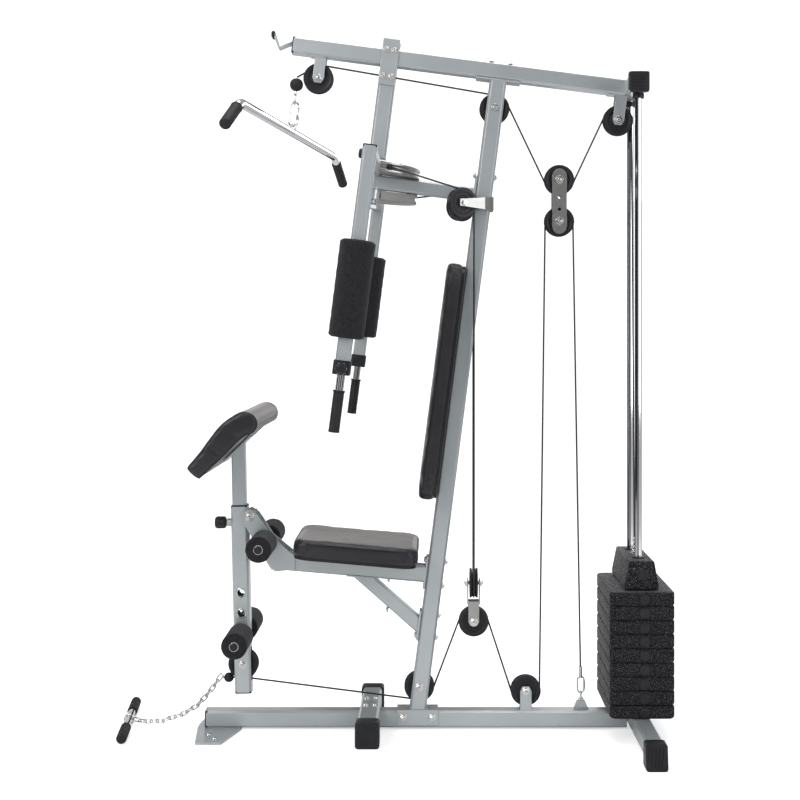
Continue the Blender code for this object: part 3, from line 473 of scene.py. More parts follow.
def rounded_bar(name, start, end, half_u, half_v, corner, material, u_dir, seg=5, edge=0.0):
    """Bar of rounded section, half_u along u_dir; edge softens both ends."""
    along = (end - start).normalized()
    u_dir = u_dir.normalized()
    v_dir = along.cross(u_dir).normalized()
    length = (end - start).length
    stations = [(0.0, 0.0), (length, 0.0)]      # (distance, inset)
    if edge:
        soft = [(edge * (1 - sin(radians(t))), edge * (1 - cos(radians(t))))
                for t in (90, 60, 30, 0)]
        stations = soft + [(length - s, inset) for s, inset in soft[::-1]]
    rings = []
    for s, inset in stations:
        section = rounded_rect(half_u - inset, half_v - inset, max(corner - inset, 0.0008), seg)
        rings.append([start + along * s + u_dir * u + v_dir * v for u, v in section])
    return mesh_obj(name, loft(rings), material, 30)


def black_bar(name, start, end, half_u, half_v, corner, u_dir, body="frame", seg=5, edge=0.002):
    put(rounded_bar(name, start, end, half_u, half_v, corner, BLACK, u_dir, seg, edge), body)


def apply_mods(obj):
    graph = bpy.context.evaluated_depsgraph_get()
    data = bpy.data.meshes.new_from_object(obj.evaluated_get(graph))
    obj.modifiers.clear()
    obj.data = data


def cut(obj, cutters):
    """Subtract the cutters and remove them."""
    for cutter in cutters:
        modifier = obj.modifiers.new("c", "BOOLEAN")
        modifier.operation = "DIFFERENCE"
        modifier.solver = "EXACT"
        modifier.object = cutter
    bpy.context.view_layer.update()
    apply_mods(obj)
    for cutter in cutters:
        bpy.data.objects.remove(cutter)
    obj.data.shade_smooth()
    obj.data.set_sharp_from_angle(angle=radians(32))
    return obj


def drill(start, end, radius, count=28):
    return mesh_obj("tool", loft(rings_of([start, end], radius, count)), STEEL, 0)


def fluted_knob(name, base, axis, side, cross, count, flutes, profile, body, *nodes):
    """Star knob; the profile lists (distance, radius, flute depth as a share of it)."""
    rings = []
    for along, radius, depth in profile:
        rings.append(ring(base + axis * along, side, cross, count, lambda k: radius * (
            1 - depth * (0.5 + 0.5 * cos(2 * pi * k * flutes / count)))))
    put(mesh_obj(name, loft(rings), BLACK, 40), body, *nodes)


def ribbed(radius, rise, dip, start, length, count):
    """Profile of ring-shaped ribs along a grip."""
    return [(radius + (rise if i % 4 in (1, 2) else -dip), start + length * i / count)
            for i in range(count + 1)]


# ========================================================================= bolts
def hex_bolt(name, base, axis, body, radius=0.0105, washer=0.0135, height=0.0065, dome=False):
    """Bolt head or nut with a washer, standing on the surface at base."""
    axis = axis.normalized()
    mesh = lathe_mesh([(washer * 0.55, 0.0), (washer, 0.0), (washer, 0.0012),
                       (washer * 0.93, 0.0018), (washer * 0.55, 0.0018)], base, axis, 28, True)
    if dome:
        lathe_mesh([(radius * 0.98, 0.0014), (radius, 0.003), (radius * 0.86, 0.0052),
                    (radius * 0.5, 0.0066), (radius * 0.42, 0.0066), (radius * 0.36, 0.0042),
                    (0.0006, 0.0042)], base, axis, 24, False, mesh)
    else:
        side, cross = cross_axes(axis)
        steps = ((0.0014, radius), (height - 0.0008, radius), (height, radius * 0.86),
                 (height, radius * 0.55), (height + 0.0016, radius * 0.50),
                 (height + 0.0022, radius * 0.38))
        loft([ring(base + axis * z, side, cross, 6, r) for z, r in steps], mesh=mesh)
    put(mesh_obj(name, mesh, STEEL, 30), body)


def surface(near, axis, radius, hosts):
    """Where a washer seats on the host CAD nodes, coming in against the axis."""
    heights = []
    for start in ring(near + axis * 0.12, *cross_axes(axis), 8, radius):
        for host in hosts:
            hit, location, _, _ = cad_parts[host].ray_cast(start, -axis)
            if hit:
                heights.append((location - near).dot(axis))
    return near + axis * max(heights, default=0.02)


def bolt(name, near, axis, hosts, body="frame", radius=0.0105, washer=0.0135, **shape):
    """Bolt sunk a hair into the surface of its hosts."""
    axis = axis.normalized()
    seat = surface(near, axis, radius * 0.95, hosts)
    hex_bolt(name, seat - axis * 0.0003, axis, body, radius, washer, **shape)


# ============================================== CAD pieces that keep their shape
def assign(names, material):
    for name in names:
        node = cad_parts[name]
        if not node.material_slots:
            node.data.materials.append(material)
        for slot in node.material_slots:
            slot.material = material


assign(("base_rail", "rear_foot_tube", "front_stabiliser", "main_upright", "top_beam",
        "front_post", "seat_tube", "fly_arm_left", "fly_arm_right", "leg_lever", "curl_post"),
       SILVER)
assign(("fly_pulley_bracket", "floating_pulley_block", "hanging_pulley_block",
        "selector_pin"), ZINC)
assign(("guide_rod_left", "guide_rod_right"), ROD)

# ======================================================================= pulleys
# half section of a wheel, hub to groove: (radius, distance from its middle)
WHEEL_HALF = [
    (0.0129, 0.0124), (0.0150, 0.0090), (0.0205, 0.0076), (0.0215, 0.0086), (0.0228, 0.0086),
    (0.0238, 0.0076), (0.0300, 0.0080), (0.0312, 0.0104), (0.0336, 0.0104), (0.0346, 0.0112),
    (0.0370, 0.0119), (0.0430, 0.0119), (0.0447, 0.0108), (0.0447, 0.0094), (0.0408, 0.0046),
    (0.0390, 0.0022), (0.0386, 0.0008)]
WHEEL = ([(0.0098, 0.0124)] + WHEEL_HALF + [(r, -a) for r, a in WHEEL_HALF[::-1]]
         + [(0.0098, -0.0124)])
BEARING = [(0.0064, 0.0118), (0.0064, -0.0118), (0.0074, -0.0129), (0.0098, -0.0129),
           (0.0102, -0.0123), (0.0102, 0.0123), (0.0098, 0.0129), (0.0074, 0.0129)]
PULLEYS = {                      # name: (centre, axle direction)
    "front_pulley": (FRONT, YDIR), "upright_top_pulley": (TOP, YDIR),
    "rear_top_pulley": (REAR, YDIR), "floating_upper_pulley": (FLOAT_UPPER, YDIR),
    "floating_lower_pulley": (FLOAT_LOWER, YDIR), "hanging_upper_pulley": (HANG_UPPER, XDIR),
    "hanging_lower_pulley": (HANG_LOWER, YDIR), "upright_bottom_pulley": (BOTTOM, YDIR),
    "base_pulley": (BASE, YDIR), "lever_pulley": (LEVER, YDIR),
    "fly_pulley_left": (FLY[-1], FLY_AXLE[-1]), "fly_pulley_right": (FLY[1], FLY_AXLE[1])}
AXLE_HOSTS = (                   # pulley, body, bracket that the axle bolts seat on
    ("front_pulley", "frame", "top_beam"), ("rear_top_pulley", "frame", "top_beam"),
    ("upright_top_pulley", "frame", "main_upright"),
    ("upright_bottom_pulley", "frame", "main_upright"), ("base_pulley", "frame", "base_rail"),
    ("lever_pulley", "leg_lever", "leg_lever"),
    ("floating_upper_pulley", "floating_block", "floating_pulley_block"),
    ("floating_lower_pulley", "floating_block", "floating_pulley_block"),
    ("hanging_upper_pulley", "hanging_block", "hanging_pulley_block"),
    ("hanging_lower_pulley", "hanging_block", "hanging_pulley_block"))

for name, (centre, axle) in PULLEYS.items():
    put(lathe(f"{name}_wheel", WHEEL, centre, axle, BLACK, 56, True), name, name)
    put(lathe(f"{name}_bearing", BEARING, centre, axle, STEEL, 32, True), name)
for name, body, host in AXLE_HOSTS:
    centre, axle = PULLEYS[name]
    for s, key in SIDES_AB:
        bolt(f"{name}_bolt_{key}", centre, axle * s, [host], body,
             radius=0.0100, washer=0.0128, height=0.0072)
for s, side in LEFT_RIGHT:
    bolt(f"fly_{side}_bolt", FLY[s], FLY_AXLE[s], ["fly_pulley_bracket"],
         radius=0.0095, washer=0.0105, height=0.0072)


# ======================================================================== cables
def wrap(centre, start, end, side=XDIR, cross=ZDIR):
    """Centre line of a cable lying on a pulley, between two angles in degrees."""
    count = max(3, int(abs(end - start) / 5 + 0.99))
    angles = [radians(start + (end - start) * k / count) for k in range(count + 1)]
    return [centre + (side * cos(a) + cross * sin(a)) * WRAP_R for a in angles]


def tangent_angles(centre0, sense0, centre1, sense1):
    """Angles where a straight length leaves one pulley and meets the next."""
    gap = Vector((centre1.x - centre0.x, centre1.z - centre0.z))
    heading = atan2(gap.y, gap.x) + asin((sense0 - sense1) * WRAP_R / gap.length)
    normal = heading - pi / 2
    return [(normal if sense > 0 else normal + pi) * 180 / pi for sense in (sense0, sense1)]


def arcs(stops, start, end):
    """Cable arcs over (pulley, sense) stops; sense is the sign of the angle's change."""
    legs = [tangent_angles(*a, *b) for a, b in zip(stops, stops[1:])]
    result = []
    for i, (centre, sense) in enumerate(stops):
        enter = start if i == 0 else legs[i - 1][1]
        leave = end if i == len(stops) - 1 else legs[i][0]
        while (leave - enter) * sense < -1e-6:
            leave += 360 * sense
        while (leave - enter) * sense > 360:
            leave -= 360 * sense
        result.append(wrap(centre, enter, leave))
    return result


def cable(name, points, body, *nodes):
    put(sweep(name, points, CABLE_R, CABLE), body, *nodes)


def stretch(name, points, count=12):
    """Cable between two bodies, left in world space without a body."""
    obj = sweep(name, points, CABLE_R, CABLE, count)
    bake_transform(obj)


def crimp(name, points, radius, body, count=12):
    put(sweep(name, points, radius, STEEL, count), body)


def link(name, centre, along, side, length, width, radius, body, gate=False):
    """Oval chain link, or a snap hook with its gate sleeve."""
    straight = length / 2 - width / 2
    points = []
    for sign in (1, -1):
        for angle in range(0, 181, 20):
            points.append(centre
                          + sign * along * (straight + width / 2 * sin(radians(angle)))
                          + sign * side * (width / 2 * cos(radians(angle))))
    mesh = loft(rings_of(points, radius, 10, True), True)
    if gate:
        sleeve = ((-0.75, 1.15), (-0.7, 1.4), (0.7, 1.4), (0.75, 1.15))   # (place, thickness)
        path = [centre + along * straight * t + side * width / 2 for t, _ in sleeve]
        loft(rings_of(path, [radius * k for _, k in sleeve], 12), mesh=mesh)
    put(mesh_obj(name, mesh, CHROME, 40), body)


# lat cable: lat bar, over the top beam, round the floating block, down to the stack
lat = arcs([(FRONT, -1), (TOP, -1), (FLOAT_UPPER, 1), (REAR, -1)], 150, 0)
stretch("lat_cable_drop", [spot(-0.3972, 0, 1.9400), lat[0][0]])
cable("lat_cable_front_arc", lat[0], "frame", "lat_cable")
cable("lat_cable_run_1", [lat[0][-1], lat[1][0]], "frame")
cable("lat_cable_top_arc", lat[1], "frame")
stretch("lat_cable_run_2", [lat[1][-1], lat[2][0]])
cable("lat_cable_float_arc", lat[2], "floating_block")
stretch("lat_cable_run_3", [lat[2][-1], lat[3][0]])
cable("lat_cable_rear_arc", lat[3], "frame")
stretch("lat_cable_stack_run", [lat[3][-1], spot(STACK_X, 0, 0.566)])

# low cable: ball stop, lever, hanging block, base, floating block, base rail
low = arcs([(LEVER, 1), (BOTTOM, 1), (HANG_LOWER, -1), (BASE, 1), (FLOAT_LOWER, -1)], -101, 0)
stretch("low_cable_pull", [LOW_BALL + XDIR * 0.0125, low[0][0]])
cable("low_cable_lever_arc", low[0], "leg_lever", "low_cable")
stretch("low_cable_run_1", [low[0][-1], low[1][0]])
cable("low_cable_bottom_arc", low[1], "frame")
stretch("low_cable_run_2", [low[1][-1], low[2][0]])
cable("low_cable_hang_arc", low[2], "hanging_block")
stretch("low_cable_run_3", [low[2][-1], low[3][0]])
cable("low_cable_base_arc", low[3], "frame")
stretch("low_cable_run_4", [low[3][-1], low[4][0]])
cable("low_cable_float_arc", low[4], "floating_block")
stretch("low_cable_anchor_run", [low[4][-1], spot(0.4490, 0, 0.172)])
# crimped end, carabiner and chain down to the lug of the base rail
crimp("low_cable_crimp", [spot(0.4490, 0, 0.182), spot(0.4491, 0, 0.172),
                          spot(0.4493, 0, 0.148)], 0.0046, "frame")
link("base_carabiner", spot(0.4496, 0, 0.128), ZDIR, XDIR, 0.048, 0.019, 0.0026, "frame",
     gate=True)
link("base_chain_link_1", spot(0.4498, 0, 0.096), ZDIR, YDIR, 0.0270, 0.0140, 0.0021, "frame")
link("base_chain_link_2", spot(0.4500, 0, 0.0795), ZDIR, XDIR, 0.0200, 0.0130, 0.0021, "frame")


def cam_centre(s):
    return ARM_PIVOT - LEAN_UP * CAM_DROP[s]


def cam_point(s, angle, radius, height=0.0):
    """Point on a cam: degrees from the rear towards its arm, radius, height off its middle."""
    angle = radians(angle)
    return (cam_centre(s) + (LEAN_BACK * cos(angle) + YDIR * s * sin(angle)) * radius
            + LEAN_UP * height)


# end lug of a butterfly cable: (radius, distance)
CABLE_LUG = [(0.0034, -0.0062), (0.0075, -0.0062), (0.0082, -0.004), (0.0082, 0.004),
             (0.0075, 0.0062), (0.0034, 0.0062)]
# butterfly cables: each cam, its guide pulley, the hanging block
for s, side in LEFT_RIGHT:
    groove_r = CAM_R - 0.0030
    stretch(f"fly_cable_{side}_cam_arc",
            [cam_point(s, 66 + 2 * k / 20, groove_r) for k in range(21)],
            count=10)
    over = wrap(FLY[s], 100, 0, FLY_DIR[s], ZDIR)
    cable(f"fly_cable_{side}_run", [cam_point(s, 66, groove_r), over[0]], "frame")
    cable(f"fly_cable_{side}_guide_arc", over, "frame", *(["fly_cable"] if s < 0 else []))
    stretch(f"fly_cable_{side}_drop", [over[-1], HANG_UPPER + YDIR * s * WRAP_R])
    put(lathe(f"cam_{side}_cable_lug", CABLE_LUG, cam_point(s, 69.6, groove_r), LEAN_UP, BLACK,
              20, True, 30), f"{side}_arm")
cable("fly_cable_block_arc", wrap(HANG_UPPER, 180, 360, YDIR, ZDIR), "hanging_block")

# ================================================================== weight stack
FEATURE_X = STACK_X + 0.006      # round plugs on the long faces
GROOVE_X = STACK_X + 0.0347      # vertical parting groove near the rear edge
FACE_PLUG = [(0.0006, 0.0010), (0.0120, 0.0010), (0.0128, 0.0004), (0.0146, 0.0004),
             (0.0150, 0.0010), (0.0156, 0.0008), (0.0158, 0.0), (0.0158, -0.002),
             (0.0006, -0.002)]
# dark ring round a face plug: painted shade in the gap at its rim
PLUG_GAP_SHADE = [(0.0153, 0.0), (0.0153, 0.0016), (0.0166, 0.0008), (0.0166, 0.0)]
PIN_BUSH = [(0.0063, 0.0), (0.0085, 0.0), (0.0088, 0.0004), (0.0088, -0.006), (0.0063, -0.006)]


def pin_hole_z(level):
    return PLATE_Z + PLATE_PITCH * level + PLATE_THICK / 2


def groove_cutters(y, z_low, z_high):
    return [rounded_bar("tool", spot(GROOVE_X, s * y, z_low), spot(GROOVE_X, s * y, z_high),
                        0.0009, 0.0017, 0.0003, GAP_SHADE, XDIR, seg=1) for s in (-1, 1)]


def plate_casing(name, z, edge):
    """Plate with three vertical bores, a pin hole and two parting grooves."""
    casing = rounded_bar(name, spot(STACK_X, 0, z), spot(STACK_X, 0, z + PLATE_THICK),
                         PLATE_HALF_X, PLATE_HALF_Y, 0.020, GRANITE, XDIR, seg=4, edge=edge)
    cutters = [drill(spot(STACK_X, y, z - 0.01), spot(STACK_X, y, z + 0.06), 0.0130)
               for y in (-ROD_Y, 0, ROD_Y)]
    pin_z = z + PLATE_THICK / 2
    cutters.append(drill(spot(STACK_X, 0, pin_z), spot(STACK_X + 0.12, 0, pin_z), 0.0062))
    return cut(casing, cutters + groove_cutters(0.1635, z - 0.01, z + 0.06))


def plate_details(name, z, body):
    """Face plugs, dark lines round them and along the grooves as painted shade in those gaps, and
    the pin bush.
    """
    pin_z = z + PLATE_THICK / 2
    for s, key in SIDES_AB:
        face_y = PLATE_HALF_Y - 0.0002
        centre = spot(FEATURE_X, s * face_y, pin_z)
        put(lathe(f"{name}_plug_{key}", FACE_PLUG, centre, YDIR * s, BLACK, 32, True, 25),
            body, slot="granite")
        # painted shade: a dark ring round the plug and a dark strip over the parting groove
        mesh = lathe_mesh(PLUG_GAP_SHADE, centre, YDIR * s, 32, True)
        corners = ((-0.0008, 0), (0.0008, 0), (0.0008, 0.0008), (-0.0008, 0.0008))
        loft([[spot(GROOVE_X + dx, s * (face_y + dy), height) for dx, dy in corners]
              for height in (z + 0.006, z + 0.0325)], mesh=mesh)
        put(mesh_obj(f"{name}_gap_shade_{key}", mesh, GAP_SHADE, 25), body, slot="granite")
    put(lathe(f"{name}_bush", PIN_BUSH, spot(STACK_X + 0.0940, 0, pin_z), XDIR, STEEL,
              28, True, 25), body)


def weight_plates():
    """Plates from the bottom up; the third and later copy the second's casing."""
    for level in range(PLATE_COUNT):
        number = PLATE_COUNT - level
        name = f"weight_plate_{number}"
        z = PLATE_Z + PLATE_PITCH * level
        body = "stack" if number <= PINNED_PLATE else "frame"
        if level == 0:
            casing = plate_casing(name + "_casing", z, edge=0.0080)
        elif level == 1:
            casing = plate_casing(name + "_casing", z, edge=0.0050)
            shared, shared_z = casing.data, z
        else:
            data = shared.copy()
            data.transform(Matrix.Translation((0, 0, z - shared_z)))
            casing = bpy.data.objects.new(name + "_casing", data)
            bpy.context.scene.collection.objects.link(casing)
        put(casing, body, name)
        plate_details(name, z, body)


# side section of the top block: (x from the stack's centre, z)
BLOCK_SECTION = [(-0.0485, BLOCK_Z), (0.0495, BLOCK_Z), (0.0500, BLOCK_Z + 0.012),
                 (0.0370, BLOCK_TOP), (-0.0350, BLOCK_TOP), (-0.0490, BLOCK_Z + 0.012)]
ROD_SLEEVE = [(0.0113, 0.0), (0.0165, 0.0), (0.0175, 0.001), (0.0175, 0.0035),
              (0.0160, 0.0045), (0.0113, 0.0045)]


def top_block():
    casing = mesh_obj("top_block_casing", loft(
        [[spot(STACK_X + x, y, z) for x, z in BLOCK_SECTION]
         for y in (-BLOCK_HALF_Y, BLOCK_HALF_Y)]), GRANITE, 0)
    modifier = casing.modifiers.new("b", "BEVEL")
    modifier.width = 0.0042
    modifier.segments = 3
    modifier.limit_method = "ANGLE"
    modifier.angle_limit = radians(30)
    apply_mods(casing)
    cutters = [drill(spot(STACK_X, y, BLOCK_Z - 0.02), spot(STACK_X, y, 0.54), 0.0125)
               for y in (-ROD_Y, ROD_Y)]
    cut(casing, cutters + groove_cutters(0.1390, BLOCK_Z - 0.01, 0.54))
    put(casing, "stack", "top_weight_block")
    for s, key in SIDES_AB:
        put(lathe(f"top_block_plug_{key}", FACE_PLUG,
                  spot(FEATURE_X, s * (BLOCK_HALF_Y - 0.0001), 0.480), YDIR * s, BLACK,
                  32, True), "stack")
        put(lathe(f"top_block_sleeve_{key}", ROD_SLEEVE,
                  spot(STACK_X, s * ROD_Y, BLOCK_TOP - 0.0002), ZDIR, BLACK, 36, True), "stack")


def stack_stem():
    """Drilled stem, its nut, the eye and the cable's crimped end."""
    stem = mesh_obj("stack_stem", loft(rings_of(
        [spot(STACK_X, 0, 0.0770), spot(STACK_X, 0, 0.0785), spot(STACK_X, 0, BLOCK_Z + 0.0300)],
        [0.0095, 0.0110, 0.0110], 28)), CHROME, 30)
    cut(stem, [drill(spot(STACK_X - 0.02, 0, pin_hole_z(i)), spot(STACK_X + 0.02, 0, pin_hole_z(i)),
                     0.0063, 16) for i in range(PLATE_COUNT)])
    put(stem, "stack")
    mesh = lathe_mesh([(0.0006, 0), (0.0135, 0), (0.0140, 0.0008), (0.0140, 0.0022),
                       (0.0006, 0.0022)], spot(STACK_X, 0, BLOCK_TOP - 0.0002), ZDIR, 28, True)
    loft([ring(spot(STACK_X, 0, z), XDIR, YDIR, 6, r)
          for z, r in ((0.521, 0.0105), (0.5265, 0.0105), (0.5275, 0.0090))], mesh=mesh)
    put(mesh_obj("stack_eye_nut", mesh, STEEL, 30), "stack")
    eye = ring(spot(STACK_X, 0, 0.5365), XDIR, ZDIR, 24, 0.0088)
    put(sweep("stack_eye", eye, 0.0028, CHROME, closed=True), "stack")
    crimp("stack_cable_crimp", [spot(STACK_X, 0, z) for z in (0.5445, 0.5465, 0.566, 0.568)],
          [0.0034, 0.0048, 0.0048, 0.0034], "stack")


def selector_grip():
    """Knurled head of the selector pin."""
    profile = ((0.0910, 0.0085), (0.0920, 0.0118), (0.1030, 0.0125), (0.1065, 0.0108),
               (0.1078, 0.0070))     # (x from the stack's centre less 5 mm, radius)
    pin_z = pin_hole_z(PLATE_COUNT - PINNED_PLATE)
    rings = [ring(spot(STACK_X + x + 0.0050, 0, pin_z), YDIR, ZDIR, 48,
                  lambda k: r * (1 + (0.045 if k % 4 < 2 else 0))) for x, r in profile]
    put(mesh_obj("selector_pin_grip", loft(rings), BLACK, 30), "selector_pin")


weight_plates()
top_block()
stack_stem()
for s, side in LEFT_RIGHT:
    put(lathe(f"rod_collar_{side}", collar_profile(0.0107, 0.0160, 0.0168, 0.0012, 0.0142),
              spot(STACK_X, s * ROD_Y, 1.8640), ZDIR, BLACK, 32, True), "frame")
selector_grip()

# ====================================================================== cushions
# Pads are built in local axes: x along, y across, z outwards from the board.


def inflate(obj, mount_z, give):
    """Puff the cover with a pressure cloth, held below mount_z; give caps its movement."""
    remesh = obj.modifiers.new("r", "REMESH")
    remesh.mode = "VOXEL"
    remesh.voxel_size = 0.0055
    apply_mods(obj)
    rest = [v.co.copy() for v in obj.data.vertices]
    pin = obj.vertex_groups.new(name="pin")
    for v in obj.data.vertices:
        if v.co.z < mount_z:
            pin.add([v.index], 1.0, "REPLACE")
    cloth = obj.modifiers.new("cloth", "CLOTH")
    settings = cloth.settings
    settings.vertex_group_mass = "pin"
    settings.use_pressure = True
    settings.uniform_pressure_force = 4.0
    settings.effector_weights.gravity = 0
    settings.tension_stiffness = 25
    settings.compression_stiffness = 8
    settings.bending_stiffness = 0.6
    settings.quality = 5
    settings.shrink_min = -0.035      # negative: the cover grows
    last_frame = 20
    cloth.point_cache.frame_start, cloth.point_cache.frame_end = 1, last_frame
    scene = bpy.context.scene
    for step in range(1, last_frame + 1):
        scene.frame_set(step)
    apply_mods(obj)
    scene.frame_set(1)
    for v, start in zip(obj.data.vertices, rest):
        moved = v.co - start
        if moved.length > give:
            v.co = start + moved.normalized() * give


def piping_loop(name, obj, points):
    """Cord laid on the cover along a closed loop of world points."""
    to_local = obj.matrix_world.inverted()
    laid = []
    for point in points:
        found, nearest, _, _ = obj.closest_point_on_mesh(to_local @ point)
        laid.append(obj.matrix_world @ nearest if found else point)
    for _ in range(2):
        laid = [(laid[k - 1] + laid[k] * 2 + laid[(k + 1) % len(laid)]) / 4
                for k in range(len(laid))]
    put(sweep(name, laid, 0.0018, PIPING, 10, closed=True), "frame" if obj.name != "curl_cushion"
        else "curl_post")


def cushion(name, obj, mount_z, to_world, piping, body, node_name, give=0.0040):
    """Upholstered pad from its closed core; piping lists the local loops of cord."""
    inflate(obj, mount_z, give)
    # creases and a slight unevenness of the stuffing
    for v in obj.data.vertices:
        if v.co.z > mount_z:
            q = v.co * 16
            v.co.z += 0.0011 * noise.noise(q) + 0.0005 * noise.noise(q * 3.1)
    relax = obj.modifiers.new("s", "SMOOTH")
    relax.factor = 0.5
    relax.iterations = 2
    finer = obj.modifiers.new("u", "SUBSURF")
    finer.levels = finer.render_levels = 1
    apply_mods(obj)
    obj.data.transform(to_world)
    obj.data.materials.clear()
    obj.data.materials.append(VINYL)
    obj.data.shade_smooth()
    obj.name = name
    put(obj, body, node_name)
    for i, points in enumerate(piping):
        piping_loop(f"{name}_piping_{i + 1}", obj, [to_world @ p for p in points])


def rounded_plan(x0, x1, half_y, radius, z):
    points = []
    for x, y, start in ((x1 - radius, half_y - radius, 0), (x0 + radius, half_y - radius, 90),
                        (x0 + radius, -half_y + radius, 180),
                        (x1 - radius, -half_y + radius, 270)):
        for step in range(0, 91, 10):
            angle = radians(start + step)
            points.append(Vector((x + radius * cos(angle), y + radius * sin(angle), z)))
    return points


def frame_of(origin, along, up):
    side = up.cross(along).normalized()
    return Matrix(((along.x, side.x, up.x, origin.x), (along.y, side.y, up.y, origin.y),
                   (along.z, side.z, up.z, origin.z), (0, 0, 0, 1)))


def flat_pad(part, length, half_y, depth, board_z, to_world):
    """Flat pad with a piped edge and the board under it."""
    layers = ((0.004, 0.010), (0.0012, 0.014), (0.0006, depth - 0.016),
              (0.0010, depth - 0.0085), (0.0030, depth - 0.0042), (0.0075, depth - 0.0022),
              (0.016, depth - 0.0010))      # (inset, z)
    core = mesh_obj("core", loft([rounded_plan(inset, length - inset, half_y - inset,
                                               0.045 - inset * 0.5, z)
                                  for inset, z in layers]), VINYL, 0)
    seam = 0.0016
    piping = rounded_plan(seam, length - seam, half_y - seam, 0.044, depth - 0.006)
    cushion(f"{part}_cushion", core, 0.013, to_world, [piping], "frame", f"{part}_pad")
    layers = ((0.009, board_z), (0.006, board_z + 0.0015), (0.006, 0.0115))
    board = mesh_obj(f"{part}_board", loft(
        [rounded_plan(inset, length - inset, half_y - inset, 0.043, z)
         for inset, z in layers]), PIPING, 30)
    board.data.transform(to_world)
    put(board, "frame")


seat_matrix = frame_of(spot(-0.400, 0, 0.5278), SEAT_DIR, SEAT_UP)
flat_pad("seat", 0.367, 0.170, 0.056, 0.0005, seat_matrix)
for i, x in enumerate((0.10, 0.26)):
    for s, key in SIDES_AB:
        centre = seat_matrix @ Vector((x, s * 0.030, -0.0075))
        put(rounded_bar(f"seat_rail_{i + 1}{key}", centre - SEAT_DIR * 0.022,
                        centre + SEAT_DIR * 0.022, 0.0078, 0.008, 0.002, SILVER, SEAT_UP,
                        seg=3, edge=0.001), "frame")
back_face = upright_at(0.685) - LEAN_BACK * (UPRIGHT_HALF + 0.0006)
flat_pad("back", 0.694, 0.135, 0.052, 0.0003, frame_of(back_face, LEAN_UP, -LEAN_BACK))

# side section of the curl pad, a wedge with rounded ends: (x, z) stations
CURL_SECTION = [
    (-0.6785, 0.8010), (-0.6770, 0.7950), (-0.6520, 0.7730), (-0.6460, 0.7715),
    (-0.6400, 0.7750), (-0.5820, 0.8300), (-0.5190, 0.8910), (-0.4935, 0.8990),
    (-0.4825, 0.9180), (-0.4850, 0.9400), (-0.4985, 0.9525), (-0.5170, 0.9575),
    (-0.5400, 0.9505), (-0.5770, 0.9255), (-0.6080, 0.8890), (-0.6385, 0.8500),
    (-0.6630, 0.8190)]


def smooth_closed(points, count):
    """Closed Catmull-Rom curve with count points for each span."""
    curve = []
    total = len(points)
    for i in range(total):
        p0, p1, p2, p3 = (Vector(points[(i + k - 1) % total]) for k in range(4))
        for k in range(count):
            t = k / count
            curve.append(0.5 * ((2 * p1) + (p2 - p0) * t + (2 * p0 - 5 * p1 + 4 * p2 - p3) * t * t
                                + (3 * p1 - p0 - 3 * p2 + p3) * t ** 3))
    return curve


def curl_pad():
    """Wedge pad, upholstered all round and piped at both ends."""
    mid_x = sum(p[0] for p in CURL_SECTION) / len(CURL_SECTION)
    mid_z = sum(p[1] for p in CURL_SECTION) / len(CURL_SECTION)
    along = (spot(-0.517, 0, 0.888) - spot(-0.646, 0, 0.766)).normalized()
    to_world = frame_of(spot(-0.5715, 0, 0.8365), along, Vector((-along.z, 0, along.x)))
    to_local = to_world.inverted()
    fine = smooth_closed(CURL_SECTION, 3)
    ends = ((0.2630, 0.93), (0.2600, 0.970), (0.2550, 0.992), (0.2480, 1.0))   # (y, scale)
    stations = [(-y, k) for y, k in ends] + list(ends[::-1])
    rings = [[to_local @ spot(mid_x + (q.x - mid_x) * k, y, mid_z + (q.y - mid_z) * k)
              for q in fine] for y, k in stations]
    core = mesh_obj("core", loft(rings), VINYL, 0)
    edge = smooth_closed([(mid_x + (x - mid_x) * 0.990, mid_z + (z - mid_z) * 0.990)
                          for x, z in CURL_SECTION], 5)
    piping = [[to_local @ spot(q.x, s * 0.2560, q.y) for q in edge] for s in (-1, 1)]
    cushion("curl_cushion", core, 0.004, to_world, piping, "curl_post", "curl_pad", give=0.0022)


curl_pad()


# ================================================================== foam rollers
def foam_tube(name, base, axis, length, outer, bore, body, *nodes):
    """Foam sleeve with softened ends and faint compression waves."""
    axis = axis.normalized()
    side, cross = cross_axes(axis)
    waves = int(length / 0.012)
    profile = [(bore, 0.0), (outer - 0.006, 0.0), (outer - 0.0022, 0.0015), (outer, 0.0055)]
    profile += [(outer - 0.0004 * (1 + sin(i * 2.1)), 0.0055 + (length - 0.011) * i / waves)
                for i in range(1, waves)]
    profile += [(outer, length - 0.0055), (outer - 0.0022, length - 0.0015),
                (outer - 0.006, length), (bore, length), (bore, length * 0.5)]
    rings = []
    for r, along in profile:
        def uneven(j):
            if r <= bore + 0.004:
                return r
            return r + 0.0006 * noise.noise(Vector((j * 0.45, along * 45, outer * 90)))
        rings.append(ring(base + axis * along, side, cross, 56, uneven))
    put(mesh_obj(name, loft(rings, True), FOAM, 40), body, *nodes)


ROLLER_WASHER = [(0.0118, -0.001), (0.0132, -0.001), (0.0138, 0.0002), (0.0138, 0.0010),
                 (0.0130, 0.0018), (0.0118, 0.0018)]
ROLLER_PLUG = [(0.0006, 0.0052), (0.0070, 0.0048), (0.0102, 0.0030), (0.0112, 0.0006),
               (0.0112, -0.0030), (0.0006, -0.0030)]
ROLLER_COLLAR = collar_profile(0.0118, 0.0150, 0.0158, 0.001, 0.0055)
FOAM_START, FOAM_LENGTH = 0.046, 0.144
FOAM_END = FOAM_START + FOAM_LENGTH
LOWER_ROLLER = spot(-0.558, 0, 0.2845)

